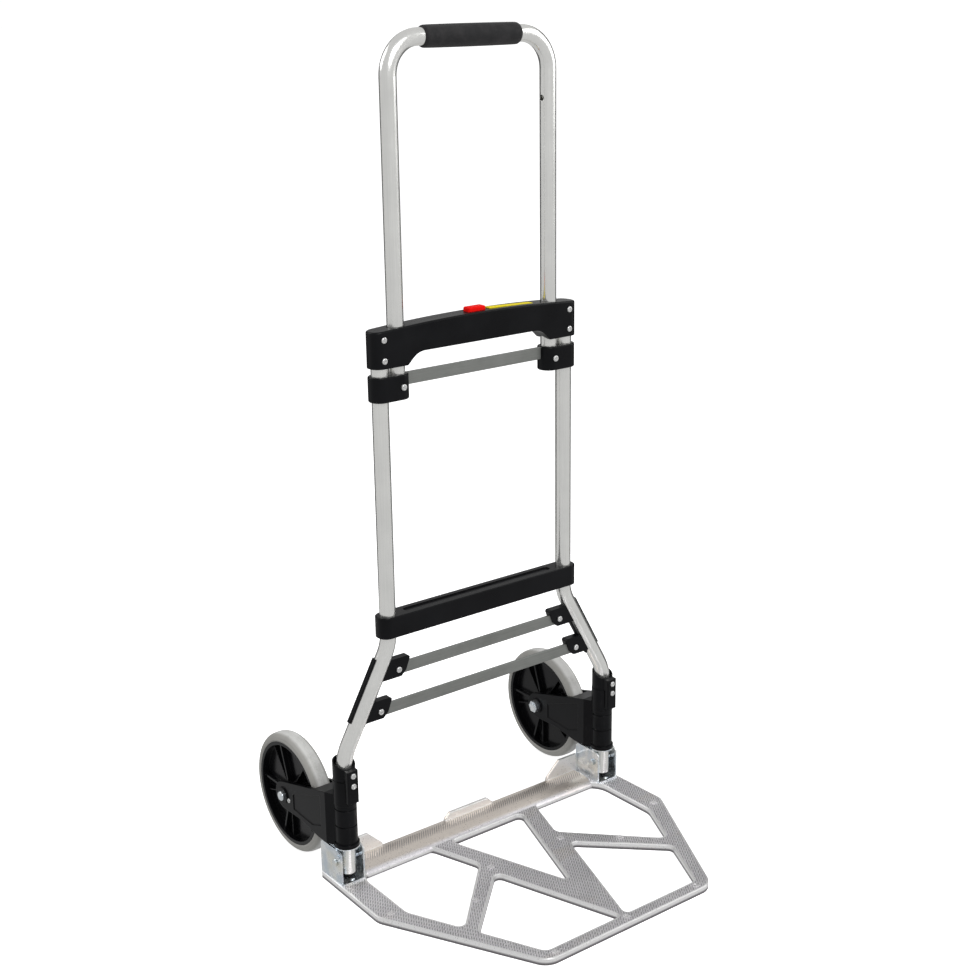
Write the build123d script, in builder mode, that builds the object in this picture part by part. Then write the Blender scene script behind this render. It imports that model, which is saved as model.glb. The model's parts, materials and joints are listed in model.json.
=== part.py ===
from build123d import *
import math
import os

os.makedirs("parts", exist_ok=True)

# Folding hand truck. Millimetres, +Z up, the load side faces -Y.
# The origin is on the floor, midway between the two frame tubes, in their plane.

# ---------------------------------------------------------------- driving dimensions
RUN = 0.08                     # radial clearance of a running fit
SNUG = 0.03                    # radial clearance of a fixed fit
SLIDE = 0.35                   # radial clearance of a sliding plastic part

TUBE_R = 11.0
TUBE_WALL = 1.5
FRAME_X = 152.0                # frame tubes, upper straight part
FOOT_X = 230.0                 # frame tubes, lower straight part
FRAME_TOP_Z = 748.0
UPPER_BEND_Z = 332.5
LOWER_BEND_Z = 190.0
FRAME_FOOT_Z = 21.0
UPPER_BEND_R = 60.0
LOWER_BEND_R = 70.0

HANDLE_X = 125.5
HANDLE_TOP_Z = 1109.0
HANDLE_FOOT_Z = 671.0
HANDLE_BEND_R = 45.0
GRIP_LENGTH = 151.0
GRIP_R = 14.2
HANDLE_TRAVEL = 288.0

CROSSHEAD_TOP_Z = 763.0        # crown, at the middle
CROSSHEAD_EDGE_Z = 756.5       # top, at the two ends
CROSSHEAD_LOW_Z = 709.5
CROSSHEAD_END_X = 167.0
CROSSHEAD_HALF_Y = 14.5
CROSSHEAD_END_R = 13.0
ARCH_Z = 725.0
ARCH_FLAT_X = 90.0
ARCH_FOOT_X = 117.0
CROSSHEAD_SCREW_X = 152.0
CROSSHEAD_SCREW_Z = (746.2, 719.3)
SCREW_SEAT = 2.0               # depth of the seats of the crosshead's screws

LOCK_Z = 739.0
LOCK_BOLT_R = 3.5
LOCK_TRAVEL = 5.0              # of the button, and of each lock bolt

CROSSBAR_LOW_Z = 345.5
CROSSBAR_TOP_Z = 374.8
CROSSBAR_END_X = 168.5
CROSSBAR_HALF_Y = 14.5

CLAMP_LOW_Z = 665.5
CLAMP_TOP_Z = 698.5
CLAMP_SCREW_Z = 682.3
CLAMP_R = 15.2

BRACE_Z = (294.6, 241.8)
BRACE_SCREW_X = (140.7, 171.8)
BRACE_END_X = (151.0, 181.0)
BRACE_HEIGHT = 16.4
BRACE_THICK = 4.0

PLATE_THICK = 9.5
PLATE_SKIN = 3.2
PLATE_WALL = 3.0
PLATE_REAR_Y = 41.0
RAIL_TOP_Z = 17.0
HINGE_Z = 40.0                 # hinge axis of the nose plate, along X through y = 0
HINGE_PIN_R = 3.0
HINGE_BUSH_WALL = 1.2
HINGE_HEAD_R = 4.8

BRACKET_IN = 16.4              # inner faces of the hinge bracket, from the tube axis
BRACKET_SHEET = 2.5
BRACKET_TOP_Z = 59.2
BRACKET_FRONT_Y = -13.0
BRACKET_REAR_Y = 38.0

KNUCKLE_LOW_Z = 61.5
KNUCKLE_TOP_Z = 160.5
KNUCKLE_R = 15.2
KNUCKLE_FLANGE_R = 17.2        # foot of the knuckle
KNUCKLE_NECK_R = 15.9          # part of the knuckle behind the collar's lug
GROOVE_Z = (117.0, 92.0)
GROOVE_WIDTH = 2.2
GROOVE_DEPTH = 1.4
COLLAR_TOP_Z = 189.0          # at the back; the top slopes down to the front
COLLAR_LIP_Z = 178.5

AXLE_Y = 130.7
WHEEL_R = 87.0
AXLE_Z = WHEEL_R
TYRE_IN_R = 75.2
TYRE_HALF = 13.5
AXLE_R = 6.0
FORK_IN = 15.5                 # inner faces of the fork arms, from the wheel's plane
FORK_OUT = 20.5

FRONT = (0, -1, 0)
BACK = (0, 1, 0)


def facing(x, y, z, direction):
    """Plane at a point whose normal is the given direction."""
    return Plane(origin=(x, y, z), z_dir=direction)


def splay_x(z):
    """X of the splayed tube's axis at height z."""
    share = (UPPER_BEND_Z - z) / (UPPER_BEND_Z - LOWER_BEND_Z)
    return FRAME_X + (FOOT_X - FRAME_X) * share


# ---------------------------------------------------------------- shared fasteners
def pan_screw(shank_r, shank_length, head_r, head_height):
    """Pan-head screw on its own Z axis, with the underside of its head at z = 0."""
    with BuildPart() as screw:
        with BuildSketch():
            Circle(head_r)
        extrude(amount=head_height)
        fillet(screw.faces().sort_by(Axis.Z)[-1].edges(), head_height * 0.55)
        with BuildSketch(Plane.XY.offset(head_height)):
            Rectangle(head_r * 1.1, head_r * 0.28)
            Rectangle(head_r * 0.28, head_r * 1.1)
        extrude(amount=-head_height * 0.5, mode=Mode.SUBTRACT)
        with BuildSketch():
            Circle(shank_r)
        extrude(amount=-shank_length)
    return screw.part


# ---------------------------------------------------------------- frame tubes
with BuildPart() as left_frame_tube:
    with BuildLine(Plane.XZ) as frame_path:
        FilletPolyline(
            (-FRAME_X, FRAME_TOP_Z),
            (-FRAME_X, UPPER_BEND_Z),
            (-FOOT_X, LOWER_BEND_Z),
            (-FOOT_X, FRAME_FOOT_Z),
            radius=(UPPER_BEND_R, LOWER_BEND_R),
        )
    with BuildSketch(Plane.XY.offset(FRAME_TOP_Z)):
        with Locations((-FRAME_X, 0)):
            Circle(TUBE_R)
            Circle(TUBE_R - TUBE_WALL, mode=Mode.SUBTRACT)
    sweep(path=frame_path.wire())
    with Locations(*[facing(-CROSSHEAD_SCREW_X, 0, z, FRONT) for z in CROSSHEAD_SCREW_Z]):
        Cylinder(2.2, 4 * TUBE_R, mode=Mode.SUBTRACT)
    with Locations(facing(-FOOT_X, 0, HINGE_Z, (1, 0, 0))):
        Cylinder(HINGE_PIN_R + SNUG, 4 * TUBE_R, mode=Mode.SUBTRACT)

with BuildPart() as right_frame_tube:
    mirror(left_frame_tube.part, about=Plane.YZ)

with BuildPart() as tube_foot_plugs:
    with BuildSketch(Plane.XY.offset(FRAME_FOOT_Z - 3)):
        with Locations((-FOOT_X, 0), (FOOT_X, 0)):
            Circle(TUBE_R)
    extrude(amount=3)
    with BuildSketch(Plane.XY.offset(FRAME_FOOT_Z)):
        with Locations((-FOOT_X, 0), (FOOT_X, 0)):
            Circle(TUBE_R - TUBE_WALL - SNUG)
    extrude(amount=9)

# ---------------------------------------------------------------- crosshead
BUTTON_HALF_X = 14.2
BUTTON_HALF_Y = 7.0
BUTTON_TOP_Z = 768.5
YOKE_HALF_X = 26.0
YOKE_LOW_Z = 738.0
YOKE_TOP_Z = 755.2
BRIDGE_LOW_Z = 750.5
CAM_X = 20.0
CAM_Z = 741.0
CAM_R = 2.0
CAVITY_HALF_X = 100.0
CAVITY_HALF_Y = 11.5
CAVITY_LOW_Z = 729.0
CAVITY_TOP_Z = 755.8
BUSH_OUT_R = 13.2
BUSH_LOW_Z = 717.0
STRIP_X = 58.0
STRIP_Z = 762.1
STRIP_TILT = 2.4
STRIP_LENGTH = 74.0
STRIP_HALF_Y = 5.5
STRIP_THICK = 1.2
strip_place = Location((STRIP_X, 0, STRIP_Z), (0, STRIP_TILT, 0))

with BuildPart() as crosshead_body:
    with BuildSketch(Plane.XZ):
        with BuildLine():
            Line((CROSSHEAD_END_X, CROSSHEAD_EDGE_Z), (CROSSHEAD_END_X, CROSSHEAD_LOW_Z))
            Line((CROSSHEAD_END_X, CROSSHEAD_LOW_Z), (ARCH_FOOT_X, CROSSHEAD_LOW_Z))
            Spline(
                (ARCH_FOOT_X, CROSSHEAD_LOW_Z),
                (ARCH_FLAT_X, ARCH_Z),
                tangents=[(-1, 0.9), (-1, 0)],
            )
            Line((ARCH_FLAT_X, ARCH_Z), (0, ARCH_Z))
            mirror(about=Plane.YZ)
            ThreePointArc((-CROSSHEAD_END_X, CROSSHEAD_EDGE_Z), (0, CROSSHEAD_TOP_Z),
                          (CROSSHEAD_END_X, CROSSHEAD_EDGE_Z))
        make_face()
    extrude(amount=CROSSHEAD_HALF_Y, both=True)
    with BuildSketch(Plane.XY.offset(CROSSHEAD_LOW_Z - 5)):
        RectangleRounded(2 * CROSSHEAD_END_X, 2 * CROSSHEAD_HALF_Y, CROSSHEAD_END_R)
    extrude(amount=CROSSHEAD_TOP_Z - CROSSHEAD_LOW_Z + 10, mode=Mode.INTERSECT)
    fillet(crosshead_body.faces().sort_by(Axis.Z)[-1].edges(), 2.5)
    with Locations((0, 0, (CAVITY_LOW_Z + CAVITY_TOP_Z) / 2)):
        Box(2 * CAVITY_HALF_X, 2 * CAVITY_HALF_Y, CAVITY_TOP_Z - CAVITY_LOW_Z, mode=Mode.SUBTRACT)
    with Locations((0, 0, CROSSHEAD_TOP_Z)):
        Box(2 * BUTTON_HALF_X + 1, 2 * BUTTON_HALF_Y + 1, 16, mode=Mode.SUBTRACT)
    with Locations(strip_place):
        Box(STRIP_LENGTH, 2 * STRIP_HALF_Y, STRIP_THICK, mode=Mode.SUBTRACT)
    for side in (-1, 1):
        with BuildSketch(Plane.XY.offset(CROSSHEAD_LOW_Z - 1)):
            with Locations((side * FRAME_X, 0)):
                Circle(TUBE_R + SNUG)
        extrude(amount=FRAME_TOP_Z + 1.5 - CROSSHEAD_LOW_Z, mode=Mode.SUBTRACT)
        with BuildSketch(Plane.XY.offset(CROSSHEAD_LOW_Z - 1)):
            with Locations((side * HANDLE_X, 0)):
                Circle(TUBE_R + 2 * SLIDE)
        extrude(amount=70, mode=Mode.SUBTRACT)
        with BuildSketch(Plane.XY.offset(BUSH_LOW_Z)):
            with Locations((side * HANDLE_X, 0)):
                Circle(BUSH_OUT_R + SNUG)
        extrude(amount=CAVITY_TOP_Z - BUSH_LOW_Z, mode=Mode.SUBTRACT)
        with Locations(facing(side * 106, 0, LOCK_Z, (1, 0, 0))):
            Cylinder(LOCK_BOLT_R + SLIDE, 16, mode=Mode.SUBTRACT)
        with Locations(*[facing(side * CROSSHEAD_SCREW_X, -3, z, FRONT) for z in CROSSHEAD_SCREW_Z]):
            Cylinder(2.1, 28, mode=Mode.SUBTRACT)
        with Locations(*[facing(side * CROSSHEAD_SCREW_X, -CROSSHEAD_HALF_Y, z, FRONT) for z in CROSSHEAD_SCREW_Z]):
            Cylinder(5.0, 2 * SCREW_SEAT, mode=Mode.SUBTRACT)

with BuildPart() as crosshead_front_shell:
    add(crosshead_body.part)
    split(bisect_by=Plane.XZ, keep=Keep.TOP)

with BuildPart() as crosshead_rear_shell:
    add(crosshead_body.part)
    split(bisect_by=Plane.XZ, keep=Keep.BOTTOM)

with BuildPart() as crosshead_screws:
    for side in (-1, 1):
        for height in CROSSHEAD_SCREW_Z:
            with Locations(facing(side * CROSSHEAD_SCREW_X, SCREW_SEAT - CROSSHEAD_HALF_Y, height, FRONT)):
                add(pan_screw(2.0, 23.0, 4.2, 2.4))

with BuildPart() as leg_guide_bushes:
    with BuildSketch(Plane.XY.offset(BUSH_LOW_Z + 0.2)):
        with Locations((-HANDLE_X, 0), (HANDLE_X, 0)):
            Circle(BUSH_OUT_R)
            Circle(TUBE_R + SLIDE, mode=Mode.SUBTRACT)
    extrude(amount=CAVITY_TOP_Z - BUSH_LOW_Z - 0.4)
    for side in (-1, 1):
        with Locations(facing(side * (HANDLE_X - 12), 0, LOCK_Z, (1, 0, 0))):
            Cylinder(LOCK_BOLT_R + SLIDE, 8, mode=Mode.SUBTRACT)

with BuildPart() as label_strip:
    with Locations(strip_place):
        Box(STRIP_LENGTH - 0.4, 2 * STRIP_HALF_Y - 0.4, STRIP_THICK)

# ---------------------------------------------------------------- release button and lock bolts
with BuildPart() as release_button:
    with BuildSketch(Plane.XY.offset(BRIDGE_LOW_Z)):
        RectangleRounded(2 * BUTTON_HALF_X, 2 * BUTTON_HALF_Y, 3)
    extrude(amount=BUTTON_TOP_Z - BRIDGE_LOW_Z)
    fillet(release_button.faces().sort_by(Axis.Z)[-1].edges(), 2)
    with BuildSketch(Plane.XY.offset(BRIDGE_LOW_Z)):
        Rectangle(2 * YOKE_HALF_X, 9.8)
    extrude(amount=YOKE_TOP_Z - BRIDGE_LOW_Z)
    with BuildSketch(Plane.XY.offset(YOKE_LOW_Z)):
        with Locations((YOKE_HALF_X - 9, 3.7), (YOKE_HALF_X - 9, -3.7)):
            Rectangle(18, 2.4)
        mirror(about=Plane.YZ)
    extrude(amount=BRIDGE_LOW_Z - YOKE_LOW_Z)
    with Locations(*[facing(side * CAM_X, 0, CAM_Z, FRONT) for side in (-1, 1)]):
        Cylinder(CAM_R + SNUG, 20, mode=Mode.SUBTRACT)

with BuildPart() as button_cam_pins:
    with Locations(*[facing(side * CAM_X, 0, CAM_Z, FRONT) for side in (-1, 1)]):
        Cylinder(CAM_R, 9.8)

with BuildPart() as button_spring:
    with BuildLine(Plane.XY.offset(CAVITY_LOW_Z + 0.7)) as coil:
        Helix(pitch=3.6, height=18.4, radius=3.8)
    with BuildSketch(Plane(origin=coil.wire() @ 0, z_dir=coil.wire() % 0)):
        Circle(0.45)
    sweep(path=coil.wire(), is_frenet=True)

with BuildPart() as right_lock_bolt:
    with BuildSketch(Plane.XZ):
        with BuildLine():
            Polyline((14.5, LOCK_Z - 8.5), (34, LOCK_Z - 8.5), (40, LOCK_Z - 4), (98, LOCK_Z - 4),
                     (98, LOCK_Z + 4), (40, LOCK_Z + 4), (34, LOCK_Z + 5.8), (14.5, LOCK_Z + 5.8), close=True)
        make_face()
    extrude(amount=2, both=True)
    with BuildSketch(Plane.XZ):
        with Locations((CAM_X, CAM_Z), (CAM_X + LOCK_TRAVEL, CAM_Z - LOCK_TRAVEL)):
            Circle(CAM_R + 0.4)
        make_hull()
    extrude(amount=3, both=True, mode=Mode.SUBTRACT)
    with BuildSketch(Plane.YZ.offset(96)):
        with Locations((0, LOCK_Z)):
            Circle(LOCK_BOLT_R)
    extrude(amount=HANDLE_X - TUBE_R - 0.4 - 96)
    chamfer(right_lock_bolt.faces().sort_by(Axis.X)[-1].edges(), 0.8)

with BuildPart() as left_lock_bolt:
    mirror(right_lock_bolt.part, about=Plane.YZ)

# ---------------------------------------------------------------- lower crossbar
with BuildPart() as lower_crossbar:
    with BuildSketch(Plane.XY.offset(CROSSBAR_LOW_Z)):
        RectangleRounded(2 * CROSSBAR_END_X, 2 * CROSSBAR_HALF_Y, CROSSHEAD_END_R)
    extrude(amount=CROSSBAR_TOP_Z - CROSSBAR_LOW_Z)
    fillet(lower_crossbar.faces().sort_by(Axis.Z)[-1].edges(), 1.5)
    with BuildSketch(Plane.XY.offset(CROSSBAR_TOP_Z)):
        RectangleRounded(252, 12, 5.9)
    extrude(amount=-2, mode=Mode.SUBTRACT)
    with BuildSketch(Plane.XY.offset(CROSSBAR_LOW_Z)):
        with Locations((-66, 0), (66, 0)):
            RectangleRounded(126, 22, 4)
    extrude(amount=CROSSBAR_TOP_Z - CROSSBAR_LOW_Z - 5.5, mode=Mode.SUBTRACT)
    for side in (-1, 1):
        with Locations((side * FRAME_X, 0, (CROSSBAR_LOW_Z + CROSSBAR_TOP_Z) / 2)):
            Cylinder(TUBE_R + SNUG, 40, mode=Mode.SUBTRACT)
        with Locations(facing(side * FRAME_X, 13, (CROSSBAR_LOW_Z + CROSSBAR_TOP_Z) / 2, BACK)):
            Cylinder(2.1, 8, mode=Mode.SUBTRACT)

with BuildPart() as crossbar_screws:
    for side in (-1, 1):
        crossbar_mid_z = (CROSSBAR_LOW_Z + CROSSBAR_TOP_Z) / 2
        with Locations(facing(side * FRAME_X, CROSSBAR_HALF_Y, crossbar_mid_z, BACK)):
            add(pan_screw(2.0, 3.2, 4.2, 2.4))

# ---------------------------------------------------------------- handle
with BuildPart() as handle_tube:
    with BuildLine(Plane.XZ) as handle_path:
        FilletPolyline(
            (-HANDLE_X, HANDLE_FOOT_Z),
            (-HANDLE_X, HANDLE_TOP_Z),
            (HANDLE_X, HANDLE_TOP_Z),
            (HANDLE_X, HANDLE_FOOT_Z),
            radius=HANDLE_BEND_R,
        )
    with BuildSketch(Plane.XY.offset(HANDLE_FOOT_Z)):
        with Locations((-HANDLE_X, 0)):
            Circle(TUBE_R)
            Circle(TUBE_R - TUBE_WALL, mode=Mode.SUBTRACT)
    sweep(path=handle_path.wire())
    for side in (-1, 1):
        for height in (LOCK_Z, LOCK_Z + HANDLE_TRAVEL):
            with Locations(facing(side * (HANDLE_X - TUBE_R), 0, height, (1, 0, 0))):
                Cylinder(LOCK_BOLT_R + 0.5, 8, mode=Mode.SUBTRACT)
        with Locations(facing(side * HANDLE_X, -TUBE_R, CLAMP_SCREW_Z, FRONT)):
            Cylinder(2.2, 10, mode=Mode.SUBTRACT)

with BuildPart() as foam_grip:
    with BuildSketch(Plane.YZ):
        with Locations((0, HANDLE_TOP_Z)):
            Circle(GRIP_R)
            Circle(TUBE_R + SNUG, mode=Mode.SUBTRACT)
    extrude(amount=GRIP_LENGTH / 2, both=True)
    grip_rims = foam_grip.edges().filter_by(GeomType.CIRCLE).filter_by(
        lambda rim: abs(rim.radius - GRIP_R) < 0.1
    )
    fillet(grip_rims, 2.5)

with BuildPart() as leg_end_plugs:
    with BuildSketch(Plane.XY.offset(HANDLE_FOOT_Z - 1.5)):
        with Locations((-HANDLE_X, 0), (HANDLE_X, 0)):
            Circle(TUBE_R)
    extrude(amount=1.5)
    with BuildSketch(Plane.XY.offset(HANDLE_FOOT_Z)):
        with Locations((-HANDLE_X, 0), (HANDLE_X, 0)):
            Circle(TUBE_R - TUBE_WALL - SNUG)
    extrude(amount=4)

CLAMP_BAR_Z = (681.0, 698.0)
CLAMP_BAR_END_X = 111.5

with BuildPart() as left_clamp:
    with BuildSketch(Plane.XY.offset(CLAMP_LOW_Z)):
        with Locations((-FRAME_X, 0)):
            Circle(CLAMP_R)
        with Locations((-HANDLE_X, 0)):
            Circle(CLAMP_R)
        make_hull()
    extrude(amount=CLAMP_TOP_Z - CLAMP_LOW_Z)
    clamp_faces = left_clamp.faces().sort_by(Axis.Z)
    fillet(clamp_faces[0].edges() + clamp_faces[-1].edges(), 1.8)
    with Locations((-FRAME_X, 0, CLAMP_LOW_Z)):
        Cylinder(TUBE_R + SLIDE, 100, mode=Mode.SUBTRACT)
    with BuildSketch(Plane.XY.offset(HANDLE_FOOT_Z - 1.5)):
        with Locations((-HANDLE_X, 0)):
            Circle(TUBE_R + SNUG)
    extrude(amount=60, mode=Mode.SUBTRACT)
    with Locations((-CLAMP_BAR_END_X + 5, 0, CLAMP_BAR_Z[0] + 15)):
        Box(12, BRACE_THICK + 0.2, 30.2, mode=Mode.SUBTRACT)
    with Locations(facing(-HANDLE_X, -13, CLAMP_SCREW_Z, FRONT)):
        Cylinder(2.1, 12, mode=Mode.SUBTRACT)

with BuildPart() as right_clamp:
    mirror(left_clamp.part, about=Plane.YZ)

with BuildPart() as clamp_bar:
    with Locations((0, 0, sum(CLAMP_BAR_Z) / 2)):
        Box(2 * CLAMP_BAR_END_X, BRACE_THICK, CLAMP_BAR_Z[1] - CLAMP_BAR_Z[0] - 0.2)
    fillet(clamp_bar.edges().filter_by(Axis.X), 0.6)

with BuildPart() as clamp_screws:
    with Locations(*[facing(side * HANDLE_X, -CLAMP_R, CLAMP_SCREW_Z, FRONT) for side in (-1, 1)]):
        add(pan_screw(2.0, 6.0, 4.2, 2.4))

# ---------------------------------------------------------------- brace bars and brackets
SPLAY_TOP_Z = 311.0
SPLAY_LOW_Z = 231.0
BRACE_SHELL_R = 13.4
BRACE_FRONT_Y = -6.2
EAR_TOP = 16.5                 # of an ear's top corner above its screw
EAR_LOW = 10.5                 # of an ear's lower edge below its screw
BRACE_SCREW_HEAD = 2.2

splay_top = Vector(-splay_x(SPLAY_TOP_Z), 0, SPLAY_TOP_Z)
splay_low = Vector(-splay_x(SPLAY_LOW_Z), 0, SPLAY_LOW_Z)
splay_plane = Plane(origin=splay_top, x_dir=BACK, z_dir=splay_low - splay_top)
splay_length = (splay_low - splay_top).length


def ear_outline(centre_x, centre_z):
    """Corners of a bracket ear, in X and Z, around its screw."""
    return [
        (centre_x + 19.5, centre_z + EAR_TOP),
        (centre_x + 12, centre_z - 3),
        (centre_x + 4, centre_z - EAR_LOW),
        (-splay_x(centre_z - EAR_LOW), centre_z - EAR_LOW),
        (-splay_x(centre_z + EAR_TOP), centre_z + EAR_TOP),
    ]


with BuildPart() as left_brace_bracket:
    with BuildSketch(splay_plane):
        Circle(BRACE_SHELL_R)
        with Locations((-20 - 2, 0)):
            Rectangle(40, 40, mode=Mode.SUBTRACT)
    extrude(amount=splay_length)
    for screw_x, bar_z in zip(BRACE_SCREW_X, BRACE_Z):
        with BuildSketch(Plane.XZ.offset(-4.5)):
            with BuildLine():
                Polyline(*ear_outline(-screw_x, bar_z), close=True)
            make_face()
            fillet(vertices().sort_by(Axis.X)[-3:], 3)
        extrude(amount=4.5 - BRACE_FRONT_Y)
    with BuildSketch(Plane(origin=splay_top - splay_plane.z_dir * 30, x_dir=BACK, z_dir=splay_plane.z_dir)):
        Circle(TUBE_R + SNUG)
    extrude(amount=splay_length + 60, mode=Mode.SUBTRACT)
    for screw_x, bar_z, end_x in zip(BRACE_SCREW_X, BRACE_Z, BRACE_END_X):
        with Locations((-end_x + 50 - 0.2, -BRACE_THICK / 2, bar_z)):
            Box(100, BRACE_THICK + 0.2, BRACE_HEIGHT + 0.4, mode=Mode.SUBTRACT)
        with Locations(facing(-screw_x, BRACE_FRONT_Y, bar_z, FRONT)):
            Cylinder(2.1, 30, mode=Mode.SUBTRACT)

with BuildPart() as right_brace_bracket:
    mirror(left_brace_bracket.part, about=Plane.YZ)


def brace_bar(end_x, screw_x, height):
    """Flat bar between the two brackets, with a hole near each end."""
    with BuildPart() as bar:
        with Locations((0, -BRACE_THICK / 2, height)):
            Box(2 * end_x, BRACE_THICK, BRACE_HEIGHT)
        fillet(bar.edges().filter_by(Axis.X), 0.6)
        with Locations(*[facing(side * screw_x, 0, height, FRONT) for side in (-1, 1)]):
            Cylinder(2.1, 20, mode=Mode.SUBTRACT)
    return bar.part


with BuildPart() as upper_brace_bar:
    add(brace_bar(BRACE_END_X[0], BRACE_SCREW_X[0], BRACE_Z[0]))

with BuildPart() as lower_brace_bar:
    add(brace_bar(BRACE_END_X[1], BRACE_SCREW_X[1], BRACE_Z[1]))

with BuildPart() as brace_screws:
    for screw_x, bar_z in zip(BRACE_SCREW_X, BRACE_Z):
        for side in (-1, 1):
            with Locations(facing(side * screw_x, BRACE_FRONT_Y, bar_z, FRONT)):
                add(pan_screw(2.0, 11.5, 4.2, BRACE_SCREW_HEAD))

# ---------------------------------------------------------------- locking collars
COLLAR_R = 15.4
COLLAR_LOW_Z = KNUCKLE_TOP_Z + 0.5
COLLAR_MOUTH_Z = 169.0
COLLAR_MOUTH_R = 13.2
LUG_HALF_X = 8.5
LUG_FRONT_Y = -22.2
LUG_BACK_Y = -16.2
LUG_TOP_Z = 178.5
LUG_LOW_Z = 131.5
COLLAR_SCREW_Z = (171.8, 156.8)

with BuildPart() as left_collar:
    with BuildSketch(Plane.XY.offset(COLLAR_LOW_Z)):
        with Locations((-FOOT_X, 0)):
            Circle(COLLAR_R)
    extrude(amount=COLLAR_TOP_Z - COLLAR_LOW_Z)
    slope = Plane(
        origin=(-FOOT_X, 0, (COLLAR_TOP_Z + COLLAR_LIP_Z) / 2),
        x_dir=(1, 0, 0),
        z_dir=(0, COLLAR_LIP_Z - COLLAR_TOP_Z, 2 * COLLAR_R),
    )
    split(bisect_by=slope, keep=Keep.BOTTOM)
    with BuildSketch(Plane.XY.offset(COLLAR_LOW_Z)):
        with Locations((-FOOT_X, LUG_FRONT_Y / 2)):
            Rectangle(2 * LUG_HALF_X, -LUG_FRONT_Y)
    extrude(amount=LUG_TOP_Z - COLLAR_LOW_Z)
    with BuildSketch(Plane.XY.offset(LUG_LOW_Z)):
        with Locations((-FOOT_X, (LUG_FRONT_Y + LUG_BACK_Y) / 2)):
            Rectangle(2 * LUG_HALF_X, LUG_BACK_Y - LUG_FRONT_Y)
    extrude(amount=LUG_TOP_Z - LUG_LOW_Z)
    fillet(left_collar.edges().filter_by(Axis.Z).group_by(Axis.Y)[0], 2)
    with Locations((-FOOT_X, 0, COLLAR_LOW_Z)):
        Cylinder(TUBE_R + SNUG, 100, mode=Mode.SUBTRACT)
    with BuildSketch(Plane.XY.offset(COLLAR_MOUTH_Z)):
        with Locations((-FOOT_X, 0)):
            Circle(COLLAR_MOUTH_R)
    extrude(amount=30, mode=Mode.SUBTRACT)
    with Locations(*[facing(-FOOT_X, LUG_FRONT_Y, z, FRONT) for z in COLLAR_SCREW_Z]):
        Cylinder(2.1, 8.4, mode=Mode.SUBTRACT)

with BuildPart() as right_collar:
    mirror(left_collar.part, about=Plane.YZ)

with BuildPart() as collar_screws:
    for side in (-1, 1):
        for height in COLLAR_SCREW_Z:
            with Locations(facing(side * FOOT_X, LUG_FRONT_Y, height, FRONT)):
                add(pan_screw(2.0, 4.0, 4.0, 2.2))

# ---------------------------------------------------------------- hinge pins and thrust washers
with BuildPart() as hinge_pins:
    pin_half = BRACKET_IN + BRACKET_SHEET + 0.3
    for side in (-1, 1):
        with Locations(facing(side * FOOT_X, 0, HINGE_Z, (side, 0, 0))):
            Cylinder(HINGE_PIN_R, 2 * pin_half)
        with Locations(facing(side * (FOOT_X + pin_half + 1.5), 0, HINGE_Z, (side, 0, 0))):
            Cylinder(HINGE_HEAD_R, 3)
        with Locations(facing(side * (FOOT_X - pin_half - 1.25), 0, HINGE_Z, (side, 0, 0))):
            Cylinder(HINGE_HEAD_R, 2.5)

with BuildPart() as thrust_washers:
    with BuildSketch(Plane.XY.offset(KNUCKLE_LOW_Z - 1.8)):
        with Locations((-FOOT_X, 0), (FOOT_X, 0)):
            Circle(17.5)
            Circle(TUBE_R + SNUG, mode=Mode.SUBTRACT)
    extrude(amount=1.5)

# ---------------------------------------------------------------- nose plate
OUTER = ((249.5, PLATE_REAR_Y), (253.5, -106.0), (142.5, -320.0))
MIDDLE_OPENING = ((0, -198), (65, -9), (-65, -9))
REAR_OPENING = ((97, 3), (214.5, 3), (217.5, -119), (180.5, -197), (68.5, -83))
FRONT_OPENING = ((66, -115), (171.5, -215.5), (131, -302), (2.5, -302))


def opening_face(corners, radii):
    """Face of one opening of the plate, with its corners rounded."""
    with BuildSketch() as opening:
        with BuildLine():
            Polyline(*corners, close=True)
        make_face()
        for corner, radius in zip(corners, radii):
            fillet(opening.vertices().sort_by_distance((corner[0], corner[1], 0))[0], radius)
    return opening.sketch


with BuildSketch() as truss:
    with BuildLine():
        Polyline(*OUTER, *[(-x, y) for x, y in reversed(OUTER)], close=True)
    make_face()
    for corner, radius in zip(OUTER, (6, 25, 26)):
        for side in (-1, 1):
            fillet(truss.vertices().sort_by_distance((side * corner[0], corner[1], 0))[0], radius)
    add(opening_face(MIDDLE_OPENING, (5, 8, 8)), mode=Mode.SUBTRACT)
    for corners, radii in ((REAR_OPENING, (24, 34, 28, 9, 14)), (FRONT_OPENING, (8, 9, 14, 8))):
        add(opening_face(corners, radii), mode=Mode.SUBTRACT)
        add(mirror(opening_face(corners, radii), about=Plane.YZ), mode=Mode.SUBTRACT)

with BuildSketch() as truss_hollow:
    add(offset(truss.sketch, amount=-PLATE_WALL, mode=Mode.PRIVATE))
    Rectangle(16, 200, mode=Mode.SUBTRACT)
    for side in (-1, 1):
        with Locations((side * FOOT_X, 10)):
            Rectangle(60, 64, mode=Mode.SUBTRACT)

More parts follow.
